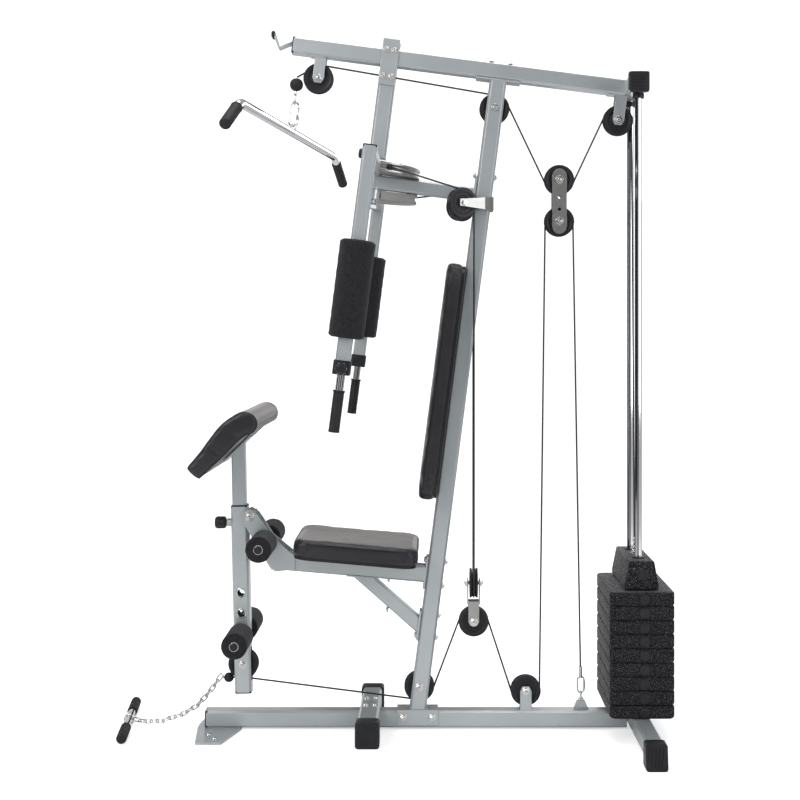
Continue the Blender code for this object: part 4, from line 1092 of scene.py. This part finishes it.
for name, centre, body in (("upper_roller", spot(-0.489, 0, 0.560), "frame"),
                           ("lower_roller", LOWER_ROLLER, "leg_lever")):
    for s, key in SIDES_AB:
        outward = YDIR * s
        foam_tube(f"{name}_foam_{key}", centre + outward * FOAM_START, outward, FOAM_LENGTH,
                  0.0374, 0.0118, body, name)
        put(lathe(f"{name}_washer_{key}", ROLLER_WASHER, centre + outward * FOAM_END, outward,
                  STEEL, 32, True, 30), body)
        put(lathe(f"{name}_plug_{key}", ROLLER_PLUG, centre + outward * (FOAM_END + 0.0016),
                  outward, BLACK, 28, False, 35), body)
        put(lathe(f"{name}_collar_{key}", ROLLER_COLLAR, centre + outward * 0.0400, outward,
                  BLACK, 28, True, 30), body)
    put(sweep(f"{name}_bar", [centre - YDIR * 0.1905, centre + YDIR * 0.1905], 0.0108,
              CHROME, 24), body)

# ============================================================= leg lever details
HOLE_RIM = [(0.0108, 0.0012), (0.0128, 0.0016), (0.0142, 0.0010), (0.0146, 0.0),
            (0.0124, -0.0030), (0.0108, -0.0030)]
LEVER_BUSHING = [(0.0120, 0.0), (0.0165, 0.0), (0.0172, 0.001), (0.0172, 0.0040),
                 (0.0160, 0.0050), (0.0120, 0.0050)]
for i, (x, z) in enumerate(((-0.561, 0.406), (-0.5595, 0.345))):
    for s, key in SIDES_AB:
        put(lathe(f"lever_hole_rim_{i + 1}{key}", HOLE_RIM, spot(x, s * 0.0255, z), YDIR * s,
                  STEEL, 32, True), "leg_lever")
for s, key in SIDES_AB:
    put(lathe(f"lever_bushing_{key}", LEVER_BUSHING, LOWER_ROLLER + YDIR * s * 0.0256,
              YDIR * s, BLACK, 32, True), "leg_lever")
black_bar("lever_top_plug", LEVER_TOP - LEVER_DIR * 0.003, LEVER_TOP + LEVER_DIR * 0.0035,
          0.0243, 0.0253, 0.0065, LEVER_NORMAL, "leg_lever")
black_bar("lever_foot_plug", LEVER_FOOT - LEVER_DIR * 0.0035, LEVER_FOOT + LEVER_DIR * 0.003,
          0.0243, 0.0253, 0.0065, LEVER_NORMAL, "leg_lever")
for s, key in SIDES_AB:
    bolt(f"lever_pivot_bolt_{key}", LEVER_PIVOT, YDIR * s, ["seat_tube"],
         radius=0.0108, washer=0.0140, height=0.0085)

# star knob of the curl post: (distance, radius, flute depth)
CURL_KNOB = ((0.0000, 0.0120, 0.0), (0.0015, 0.0150, 0.03), (0.0045, 0.0182, 0.09),
             (0.0250, 0.0187, 0.10), (0.0300, 0.0175, 0.09), (0.0330, 0.0140, 0.04),
             (0.0338, 0.0090, 0.0))
knob_base = spot(-0.6075, 0, 0.612)
fluted_knob("curl_knob_grip", knob_base, -XDIR, YDIR, ZDIR, 72, 8, CURL_KNOB, "curl_knob",
            "curl_post_knob")
put(sweep("curl_knob_shank", [knob_base + XDIR * 0.0170, knob_base - XDIR * 0.0010], 0.0048,
          CHROME, 20), "curl_knob")

# ================================================================ butterfly arms
CAM_START, CAM_SPAN = -6, 102    # degrees
CAM_END = CAM_START + CAM_SPAN
CAM_FACE = 0.0124                # height of the flange plates off the cam's middle
FACING = 0.0012                  # thickness of the zinc facing
# section of the grooved rim: (radius, height)
RIM_SECTION = ((CAM_R + 0.0008, 0.0128), (CAM_R + 0.0008, 0.0086), (CAM_R - 0.0050, 0.0028),
               (CAM_R - 0.0050, -0.0028), (CAM_R + 0.0008, -0.0086),
               (CAM_R + 0.0008, -0.0128), (CAM_R - 0.0105, -0.0128), (CAM_R - 0.0105, 0.0128))
LOCK_KNOB = ((0.0, 0.0085, 0), (0.0062, 0.0085, 0), (0.0070, 0.0120, 0.02),
             (0.0085, 0.0166, 0.07), (0.0200, 0.0172, 0.09), (0.0240, 0.0155, 0.07),
             (0.0262, 0.0115, 0.02), (0.0268, 0.0060, 0))
SLEEVE_RING = [(0.0280, 0.0), (0.0400, 0.0), (0.0415, 0.0006), (0.0405, 0.0018),
               (0.0280, 0.0022)]
HANDLE_GRIP = [(0.0100, -0.0735), (0.0158, -0.0738), (0.0166, -0.0750), (0.0166, -0.0775),
               (0.0156, -0.0785)]
HANDLE_GRIP += [p for p in ribbed(0.0146, 0.0006, 0.0004, -0.0745, -0.1070, 88)
                if p[1] < -0.0790]
HANDLE_GRIP += [(0.0154, -0.1825), (0.0156, -0.1850), (0.0138, -0.1872), (0.0060, -0.1880)]


def cam_facing(s, side, body):
    """Zinc facing of the cam: two flange plates, a grooved rim, bolts and end webs."""
    for key, height in (("upper", CAM_FACE), ("lower", -CAM_FACE)):
        thick = LEAN_UP * (FACING if height > 0 else -FACING)
        outline = [cam_point(s, CAM_START + CAM_SPAN * i / 30, CAM_R + 0.0006, height)
                   for i in range(31)]
        outline += [cam_point(s, CAM_END - CAM_SPAN * i / 30, 0.0225, height)
                    for i in range(31)]
        put(mesh_obj(f"cam_{side}_{key}_face", loft([outline, [p + thick for p in outline]]),
                     ZINC, 25), body)
    rings = [[cam_point(s, CAM_START + CAM_SPAN * i / 34, r, h) for r, h in RIM_SECTION]
             for i in range(35)]
    put(mesh_obj(f"cam_{side}_rim", loft(rings), ZINC, 25), body)
    for i, angle in enumerate((8, 45, 84)):
        hex_bolt(f"cam_{side}_bolt_{i + 1}", cam_point(s, angle, 0.108, 0.0134), LEAN_UP, body,
                 radius=0.0075, washer=0.0095, height=0.0050)
    for key, angle in (("front", CAM_END), ("rear", CAM_START)):
        thick = (LEAN_BACK * -sin(radians(angle)) + YDIR * s * cos(radians(angle))) * (
            FACING if angle > 0 else -FACING)
        outline = [cam_point(s, angle, r, h) for r, h in (
            (0.0235, CAM_FACE), (CAM_R - 0.0040, CAM_FACE), (CAM_R - 0.0040, -CAM_FACE),
            (0.0235, -CAM_FACE))]
        put(mesh_obj(f"cam_{side}_{key}_web", loft([outline, [p + thick for p in outline]]),
                     ZINC, 25), body)


def arm_fittings(s, side, body):
    """Hub washer, tube plug, foot bushing and lock knob, foam sleeve and handle."""
    centre = cam_centre(s)
    tube_top = Vector((centre.x, s * ARM_Y, centre.z))

    def on_tube(z):
        return tube_top - LEAN_UP * ((centre.z - z) / LEAN_UP.z)

    put(lathe(f"arm_{side}_hub_washer", collar_profile(0.0128, 0.0205, 0.0212, 0.0005, 0.0015),
              centre - LEAN_UP * 0.0160, LEAN_UP, STEEL, 36, True), body)
    end = tube_top + LEAN_UP * max(0.0150, (1.672 - centre.z) / LEAN_UP.z)
    black_bar(f"arm_{side}_top_plug", end - LEAN_UP * 0.0045, end + LEAN_UP * 0.0040,
              0.0192, 0.0192, 0.0055, LEAN_BACK, body, edge=0.0022)
    foot = on_tube(1.0975)
    bushing = rounded_bar(f"arm_{side}_bushing", foot + LEAN_UP * 0.0075,
                          foot - LEAN_UP * 0.0315, 0.0238, 0.0238, 0.0065, BLACK, LEAN_BACK,
                          edge=0.0025)
    cut(bushing, [drill(foot + LEAN_UP * 0.02, foot - LEAN_UP * 0.05, 0.0121, 36)])
    put(bushing, body)
    fluted_knob(f"arm_{side}_lock_knob", foot - LEAN_UP * 0.014 + YDIR * s * 0.0232, YDIR * s,
                LEAN_BACK, LEAN_UP, 60, 6, LOCK_KNOB, body)
    foam_z, foam_length = 1.1665, 0.260
    foam_tube(f"arm_{side}_foam_sleeve", on_tube(foam_z), LEAN_UP, foam_length, 0.0483, 0.0286,
              body, f"fly_foam_{side}")
    for key, z, sign in (("low", foam_z, -1), ("high", foam_z + foam_length * LEAN_UP.z, 1)):
        put(lathe(f"arm_{side}_sleeve_ring_{key}", SLEEVE_RING, on_tube(z), LEAN_UP * sign,
                  BLACK, 44, True), body)
    handle = f"{side}_handle"
    put(sweep(f"handle_{side}_stem", [foot + LEAN_UP * 0.085, foot - LEAN_UP * 0.080], 0.0112,
              CHROME, 28), handle, f"fly_handle_{side}")
    put(lathe(f"handle_{side}_grip", HANDLE_GRIP, foot, LEAN_UP, RUBBER, 40, False, 45), handle)


for s, side in LEFT_RIGHT:
    cam_facing(s, side, f"{side}_arm")
    arm_fittings(s, side, f"{side}_arm")

# rubber bumpers in front of the arms' tops
BUMPER = [(0.0040, 0.0), (0.0125, 0.0), (0.0135, 0.0012), (0.0135, 0.0100), (0.0120, 0.0132),
          (0.0080, 0.0148), (0.0006, 0.0152)]
for s, side in LEFT_RIGHT:
    centre = cam_centre(s)
    base = Vector((centre.x, s * (ARM_Y - 0.060), centre.z)) - LEAN_BACK * 0.0180
    put(lathe(f"arm_{side}_bumper", BUMPER, base, -LEAN_BACK, RUBBER, 32), f"{side}_arm")

# ======================================================================= lat bar
BAR_TURN, BAR_TILT = radians(10.7), radians(1.2)
BAR_DIR = Vector((sin(BAR_TURN) * cos(BAR_TILT), cos(BAR_TURN) * cos(BAR_TILT), -sin(BAR_TILT)))
BAR_CENTRE = spot(-0.410, 0, 1.774)
# half of the bar, outwards from the middle: (distance along, rise)
BAR_HALF = [(0.0, 0.0), (0.455, 0.0), (0.470, -0.0004), (0.482, -0.0024), (0.493, -0.0060),
            (0.503, -0.0115), (0.600, -0.075)]
BAR_GRIP = ([(0.0060, -0.0060), (0.0130, -0.0052), (0.0150, -0.0030), (0.0158, 0.0)]
            + ribbed(0.0150, 0.0007, 0.0003, 0.0015, 0.0985, 56)
            + [(0.0162, 0.1010), (0.0166, 0.1030), (0.0158, 0.1055), (0.0130, 0.1062)])
BALL = [(0.0034, -0.0190), (0.0100, -0.0172), (0.0155, -0.0128), (0.0188, -0.0065),
        (0.0198, 0.0), (0.0188, 0.0065), (0.0155, 0.0128), (0.0100, 0.0172), (0.0034, 0.0190)]


def lat_bar():
    """Bar with bent ends and grips, its eye, carabiner, link and rubber ball."""
    path = [BAR_CENTRE - BAR_DIR * a + ZDIR * z for a, z in BAR_HALF[:0:-1]]
    path += [BAR_CENTRE + BAR_DIR * a + ZDIR * z for a, z in BAR_HALF[1:]]
    put(sweep("lat_bar_tube", path, 0.0124, CHROME, 28), "lat_bar", "lat_bar")
    for s, key in SIDES_AB:
        tip = BAR_CENTRE + BAR_DIR * s * 0.600 - ZDIR * 0.075
        inner = BAR_CENTRE + BAR_DIR * s * 0.500 - ZDIR * 0.0098
        put(lathe(f"lat_bar_grip_{key}", BAR_GRIP, tip, (inner - tip).normalized(), RUBBER,
                  40, False, 45), "lat_bar")
    eye = ring(spot(-0.410, 0, 1.7930), BAR_DIR.cross(ZDIR), ZDIR, 24, 0.0092)
    put(sweep("lat_bar_eye", eye, 0.0033, CHROME, closed=True), "lat_bar")
    hang = (spot(-0.400, 0, 1.905) - spot(-0.408, 0, 1.800)).normalized()
    link("lat_carabiner", spot(-0.4063, 0, 1.8300), hang, XDIR, 0.072, 0.024, 0.0031,
         "lat_bar", gate=True)
    link("lat_link", spot(-0.4030, 0, 1.8745), hang, YDIR, 0.030, 0.0130, 0.0024, "lat_bar")
    crimp("lat_cable_tail", [spot(-0.4025, 0, 1.8840), spot(-0.4015, 0, 1.8860),
                             spot(-0.4005, 0, 1.9020), spot(-0.4000, 0, 1.9040)],
          [0.0034, 0.0046, 0.0046, 0.0032], "lat_bar", 16)
    put(lathe("lat_stop_ball", BALL, spot(-0.3985, 0, 1.918), ZDIR, RUBBER, 36, False, 60),
        "lat_bar")


lat_bar()

# =============================================================== low pull, T-bar
put(lathe("low_stop_ball", [(r * 0.73, a * 0.74) for r, a in BALL], LOW_BALL, XDIR, RUBBER,
          36, False, 60), "low_stop", "low_cable_stop")
crimp("low_stop_crimp", [LOW_BALL - XDIR * x for x in (0.0110, 0.0130, 0.0215)],
      [0.0030, 0.0038, 0.0032], "low_stop", 16)
T_GRIP = ([(0.0050, 0.0), (0.0125, 0.0006), (0.0146, 0.0024), (0.0150, 0.0050)]
          + ribbed(0.0143, 0.0007, 0.0003, 0.0060, 0.1030, 60)
          + [(0.0150, 0.1110), (0.0150, 0.1140), (0.0118, 0.1150)])


def along_path(points, pitch):
    """(point, direction) at every pitch along a polyline, from half a pitch in."""
    result, ahead = [], pitch / 2
    for a, b in zip(points, points[1:]):
        length = (b - a).length
        while ahead <= length:
            result.append((a + (b - a) * (ahead / length), (b - a).normalized()))
            ahead += pitch
        ahead -= length
    return result


def t_bar():
    """Bar lying on the floor with two grips, and the chain up to the ball stop."""
    left, right = spot(-0.883, -0.169, 0.0165), spot(-0.925, 0.222, 0.0165)
    along = (right - left).normalized()
    middle = (left + right) / 2
    put(sweep("t_bar_tube", [left + along * 0.010, right - along * 0.010], 0.0114, CHROME, 28),
        "t_bar", "t_bar")
    for key, end, inward in (("a", left, along), ("b", right, -along)):
        put(lathe(f"t_bar_grip_{key}", T_GRIP, end, inward, RUBBER, 40, False, 45), "t_bar")
    put(sweep("t_bar_ring", ring(middle, XDIR, ZDIR, 24, 0.0146), 0.0018, CHROME, 10,
              closed=True), "t_bar")
    chain = [middle + XDIR * 0.0165, spot(-0.855, 0.012, 0.0150), spot(-0.805, 0.004, 0.0180),
             spot(-0.743, 0, 0.0370), spot(-0.6976, 0, 0.0636), spot(-0.672, 0, 0.090),
             spot(-0.649, 0, 0.118), LOW_BALL - XDIR * 0.0270]
    for i, (point, heading) in enumerate(along_path(chain, 0.0190)):
        seed = YDIR if i % 2 else ZDIR
        side = (seed - heading * seed.dot(heading)).normalized()
        twist = Matrix.Rotation(radians(18), 3, heading)
        link(f"t_bar_chain_link_{i + 1}", point, heading, twist @ side, 0.0265, 0.0125, 0.0020,
             "t_bar")


t_bar()


# ============================================================ caps, boots, plugs
def rear_foot_cap(s, side):
    """Sleeve with a slanted, ribbed outer end."""
    half_z = 0.036

    def slanted(y, height):
        return s * (y - 0.0135 * height / 0.072)

    rings = []
    for y, half_x, height in ((0.3545, 0.0290, 0.0715), (0.3560, 0.0300, 0.0720),
                              (0.3850, 0.0300, 0.0720)):
        rings.append([spot(REAR_FOOT_X + a, s * y, height / 2 + b)
                      for a, b in rounded_rect(half_x, height / 2, 0.008, 4)])
    for y, scale_x, scale_z in ((0.4070, 1, 1), (0.4083, 0.93, 0.94)):
        rings.append([spot(REAR_FOOT_X + a * scale_x, slanted(y, b + half_z),
                           half_z + b * scale_z)
                      for a, b in rounded_rect(0.0300, half_z, 0.008, 4)])
    cap = mesh_obj(f"rear_cap_{side}_sleeve", loft(rings), BLACK, 30)
    cut(cap, [rounded_bar("tool", spot(REAR_FOOT_X, s * 0.30, 0.045),
                          spot(REAR_FOOT_X, s * 0.3834, 0.045), 0.0254, 0.0254, 0.006, BLACK,
                          XDIR)])
    put(cap, "frame", f"rear_foot_cap_{side}")
    for i in range(5):
        x = 0.5905 + 0.0095 * i
        black_bar(f"rear_cap_{side}_rib_{i + 1}", spot(x - 0.0025, slanted(0.4083, 0.012), 0.012),
                  spot(x + 0.0025, slanted(0.4083, 0.060), 0.060), 0.0021, 0.0018, 0.0012, XDIR,
                  seg=2, edge=0.0008)


def stabiliser_boot(s, side):
    boot = rounded_bar(f"stabiliser_{side}_sleeve", spot(STABILISER_X, s * 0.1655, 0.0385),
                       spot(STABILISER_X, s * 0.2140, 0.0385), 0.0348, 0.0384, 0.009, BLACK,
                       XDIR, seg=4, edge=0.003)
    cut(boot, [rounded_bar("tool", spot(STABILISER_X, s * 0.12, 0.0475),
                           spot(STABILISER_X, s * 0.1954, 0.0475), 0.0294, 0.0279, 0.006,
                           BLACK, XDIR)])
    put(boot, "frame", f"stabiliser_boot_{side}")
    for i in range(7):
        x = STABILISER_X - 0.0245 + 0.0245 / 3 * i
        black_bar(f"stabiliser_{side}_rib_{i + 1}", spot(x, s * 0.2138, 0.012),
                  spot(x, s * 0.2138, 0.066), 0.0016, 0.0017, 0.0012, XDIR, seg=2, edge=0.0008)


def top_cross_cap(s, side):
    """Cap of the top cross tube, over its end block."""
    x, outer_y, z = 0.606, s * 0.1252, 1.9060
    black_bar(f"top_cap_{side}_sleeve", spot(x, s * 0.1015, z), spot(x, outer_y, z),
              0.0298, 0.0298, 0.008, XDIR, seg=4, edge=0.0032)
    for i in range(5):
        rib_z = z - 0.018 + 0.009 * i
        black_bar(f"top_cap_{side}_rib_{i + 1}", spot(x - 0.018, outer_y, rib_z),
                  spot(x + 0.018, outer_y, rib_z), 0.0016, 0.0012, 0.0009, ZDIR,
                  seg=2, edge=0.0006)


for s, side in LEFT_RIGHT:
    rear_foot_cap(s, side)
    stabiliser_boot(s, side)
    top_cross_cap(s, side)

# plugs at the open ends of the tubes
for name, start, end, u_dir in (
        ("rail_front_plug", spot(-0.6685, 0, 0.0305), spot(-0.6600, 0, 0.0305), ZDIR),
        ("beam_front_plug", spot(-0.4095, 0, 2.0344), spot(-0.4020, 0, 2.0335), LEAN_UP),
        ("seat_tube_plug", SEAT_TUBE_END - SEAT_DIR * 0.0035, SEAT_TUBE_END + SEAT_DIR * 0.004,
         SEAT_UP)):
    black_bar(name, start, end, 0.0246, 0.0246, 0.0058, u_dir)
HOOK_TIP = [(0.0004, 0.0052), (0.0036, 0.0042), (0.0056, 0.0014), (0.0060, -0.0020),
            (0.0060, -0.0130), (0.0052, -0.0140)]
for s, key in SIDES_AB:
    put(lathe(f"hook_tip_{key}", HOOK_TIP, spot(-0.466, s * 0.014, 2.071), ZDIR, RUBBER, 24),
        "frame")

# =================================================================== frame bolts
for i, x in enumerate((0.180, 0.236)):
    for s, key in SIDES_AB:
        bolt(f"beam_bolt_{i + 1}{key}", beam_at(x) + YDIR * s * 0.013, LEAN_UP, ["top_beam"],
             radius=0.0085, washer=0.0105)
for i, (back, up) in enumerate(((-0.012, 0.018), (0.012, 0.018), (-0.012, -0.060),
                                (0.012, -0.060))):
    for s, key in SIDES_AB:
        bolt(f"post_bolt_{i + 1}{key}", beam_at(-0.119) + LEAN_BACK * back + LEAN_UP * up,
             YDIR * s, ["front_post"], radius=0.0085, washer=0.0105)
# flanges on the upright: (name, height, bolt offset up and down from it)
for name, z, offset in (("seat", 0.462, 0.036), ("brace", 0.305, 0.033),
                        ("support", 1.600, 0.044)):
    for i, up in enumerate((-offset, offset)):
        point = upright_at(z) + LEAN_UP * up
        for s, key in SIDES_AB:
            bolt(f"{name}_flange_bolt_{i + 1}{key}",
                 point - LEAN_BACK * UPRIGHT_HALF + YDIR * s * 0.0145, -LEAN_BACK,
                 ["seat_tube", "front_post"], radius=0.0072, washer=0.0088, height=0.0055)
        bolt(f"{name}_flange_nut_{i + 1}", point + LEAN_BACK * UPRIGHT_HALF, LEAN_BACK,
             ["main_upright"], radius=0.0085, washer=0.0110)
for i, x in enumerate((-0.080, 0.006)):
    for s, key in SIDES_AB:
        bolt(f"saddle_bolt_{i + 1}{key}", spot(x, 0, 0.0365), YDIR * s, ["main_upright"],
             radius=0.0095, washer=0.0120)
for i, x in enumerate((STABILISER_X - 0.014, STABILISER_X + 0.014)):
    for s, key in SIDES_AB:
        bolt(f"stabiliser_bolt_{i + 1}{key}", spot(x, s * 0.036, 0.0475), ZDIR,
             ["front_stabiliser"], radius=0.0085, washer=0.0108, dome=True)
for i, (x, y) in enumerate(((-0.645, 0.095), (-0.622, 0.135))):
    for s, key in SIDES_AB:
        bolt(f"foot_plate_bolt_{i + 1}{key}", spot(x, s * y, 0.003), ZDIR, ["base_rail"],
             radius=0.0080, washer=0.0105, dome=True)
put(lathe("spindle_washer", collar_profile(0.0123, 0.0190, 0.0198, 0.0006, 0.0020),
          ARM_PIVOT - LEAN_UP * 0.1385, LEAN_UP, STEEL, 36, True), "frame")


# ========================================================================= stage
def studio_floor():
    """White floor that curves up into a back wall at +Y."""
    data = bpy.data.meshes.new("floor")
    mesh = bmesh.new()
    bend_y, bend_r = 3.2, 2.2
    profile = [(-9.0, 0.0), (bend_y, 0.0)]
    profile += [(bend_y + bend_r * sin(radians(a)), bend_r - bend_r * cos(radians(a)))
                for a in range(10, 91, 10)]
    profile.append((bend_y + bend_r, 9.0))
    near, far = ([mesh.verts.new((x, y, z)) for y, z in profile] for x in (-14, 14))
    for i in range(len(profile) - 1):
        mesh.faces.new((near[i], far[i], far[i + 1], near[i + 1]))
    mesh.to_mesh(data)
    mesh.free()
    data.shade_smooth()
    floor = bpy.data.objects.new("studio_floor", data)
    bpy.context.scene.collection.objects.link(floor)
    data.materials.append(studio_white())


def studio_white():
    """Matt white with a glow that only the camera sees."""
    material, tree, bsdf = new_material("studio_white")
    color = color_ramp(tree, noise_tex(tree, 0.6, Detail=2),
                       [(0.3, (0.80, 0.80, 0.80)), (0.7, (0.83, 0.83, 0.83))])
    set_inputs(tree, bsdf, Base_Color=color, Roughness=0.8, Specular_IOR_Level=0.1)
    glow = tree.nodes.new("ShaderNodeEmission")
    glow.inputs["Strength"].default_value = 0.55      # stands only if the link below is cut
    rays = tree.nodes.new("ShaderNodeLightPath")
    power = math_node(tree, "MULTIPLY", rays.outputs["Is Camera Ray"], 0.50)
    tree.links.new(power, glow.inputs["Strength"])
    both = tree.nodes.new("ShaderNodeAddShader")
    tree.links.new(bsdf.outputs["BSDF"], both.inputs[0])
    tree.links.new(glow.outputs[0], both.inputs[1])
    tree.links.new(both.outputs[0], tree.nodes["Material Output"].inputs["Surface"])
    return material


def black_cards():
    """Dark upright cards, seen only in reflections."""
    material, tree, bsdf = new_material("black_card")
    set_inputs(tree, bsdf, Base_Color=(0.01, 0.01, 0.01, 1), Roughness=1.0)
    # x, y, width, turn in degrees
    cards = ((-2.6, -5.2, 2.2, 0.0), (1.7, -5.4, 2.4, 0.0), (-4.6, -1.0, 2.6, 90),
             (4.8, -1.4, 2.6, 90), (0.0, 4.6, 1.4, 0.0))
    for i, (x, y, width, turn) in enumerate(cards):
        data = bpy.data.meshes.new("card")
        half = Vector((cos(radians(turn)), sin(radians(turn)), 0)) * width / 2
        low, high = Vector((x, y, 0)) + ZDIR * 0.01, Vector((x, y, 0)) + ZDIR * 5
        data.from_pydata([low - half, low + half, high + half, high - half], [],
                         [(0, 1, 2, 3)])
        card = bpy.data.objects.new(f"card_{i + 1}", data)
        bpy.context.scene.collection.objects.link(card)
        data.materials.append(material)
        card.visible_camera = False
        card.visible_shadow = False
        card.visible_diffuse = False


def area_light(name, place, target, width, height, power, color=(1, 1, 1)):
    light = bpy.data.lights.new(name, "AREA")
    light.shape = "RECTANGLE"
    light.size, light.size_y = width, height
    light.energy = power
    light.color = color
    obj = bpy.data.objects.new(name, light)
    bpy.context.scene.collection.objects.link(obj)
    obj.location = place
    obj.rotation_mode = "QUATERNION"
    obj.rotation_quaternion = (Vector(target) - Vector(place)).to_track_quat("-Z", "Y")


studio_floor()
black_cards()
area_light("key", place=(-2.6, -3.0, 3.4), target=(0, 0, 0.9), width=2.0, height=2.4,
           power=112, color=(1.0, 0.985, 0.96))
area_light("fill", place=(3.2, -2.4, 2.0), target=(0, 0, 1.0), width=1.6, height=2.6,
           power=52, color=(0.96, 0.98, 1.0))
area_light("top", place=(0.2, 0.4, 4.6), target=(0, 0, 0.6), width=3.0, height=2.4, power=78)
area_light("rim", place=(1.6, 2.8, 2.6), target=(0, 0, 1.1), width=2.0, height=1.6, power=26)

scene = bpy.context.scene
world = bpy.data.worlds.new("studio")
scene.world = world
world.use_nodes = True
set_inputs(world.node_tree, world.node_tree.nodes["Background"],
           Color=(0.95, 0.97, 1.0, 1), Strength=0.55)
scene.view_settings.view_transform = "Standard"
scene.view_settings.exposure = 0.0

# level camera at the machine's side, looking along +Y
lens = bpy.data.cameras.new("cam")
lens.sensor_width = 36
lens.lens = 60.3
lens.shift_x, lens.shift_y = -0.0375, -0.0875
camera = bpy.data.objects.new("cam", lens)
scene.collection.objects.link(camera)
camera.location = (ORIGIN_X, -4.0, 1.186)
camera.rotation_euler = (pi / 2, 0, 0)
scene.camera = camera
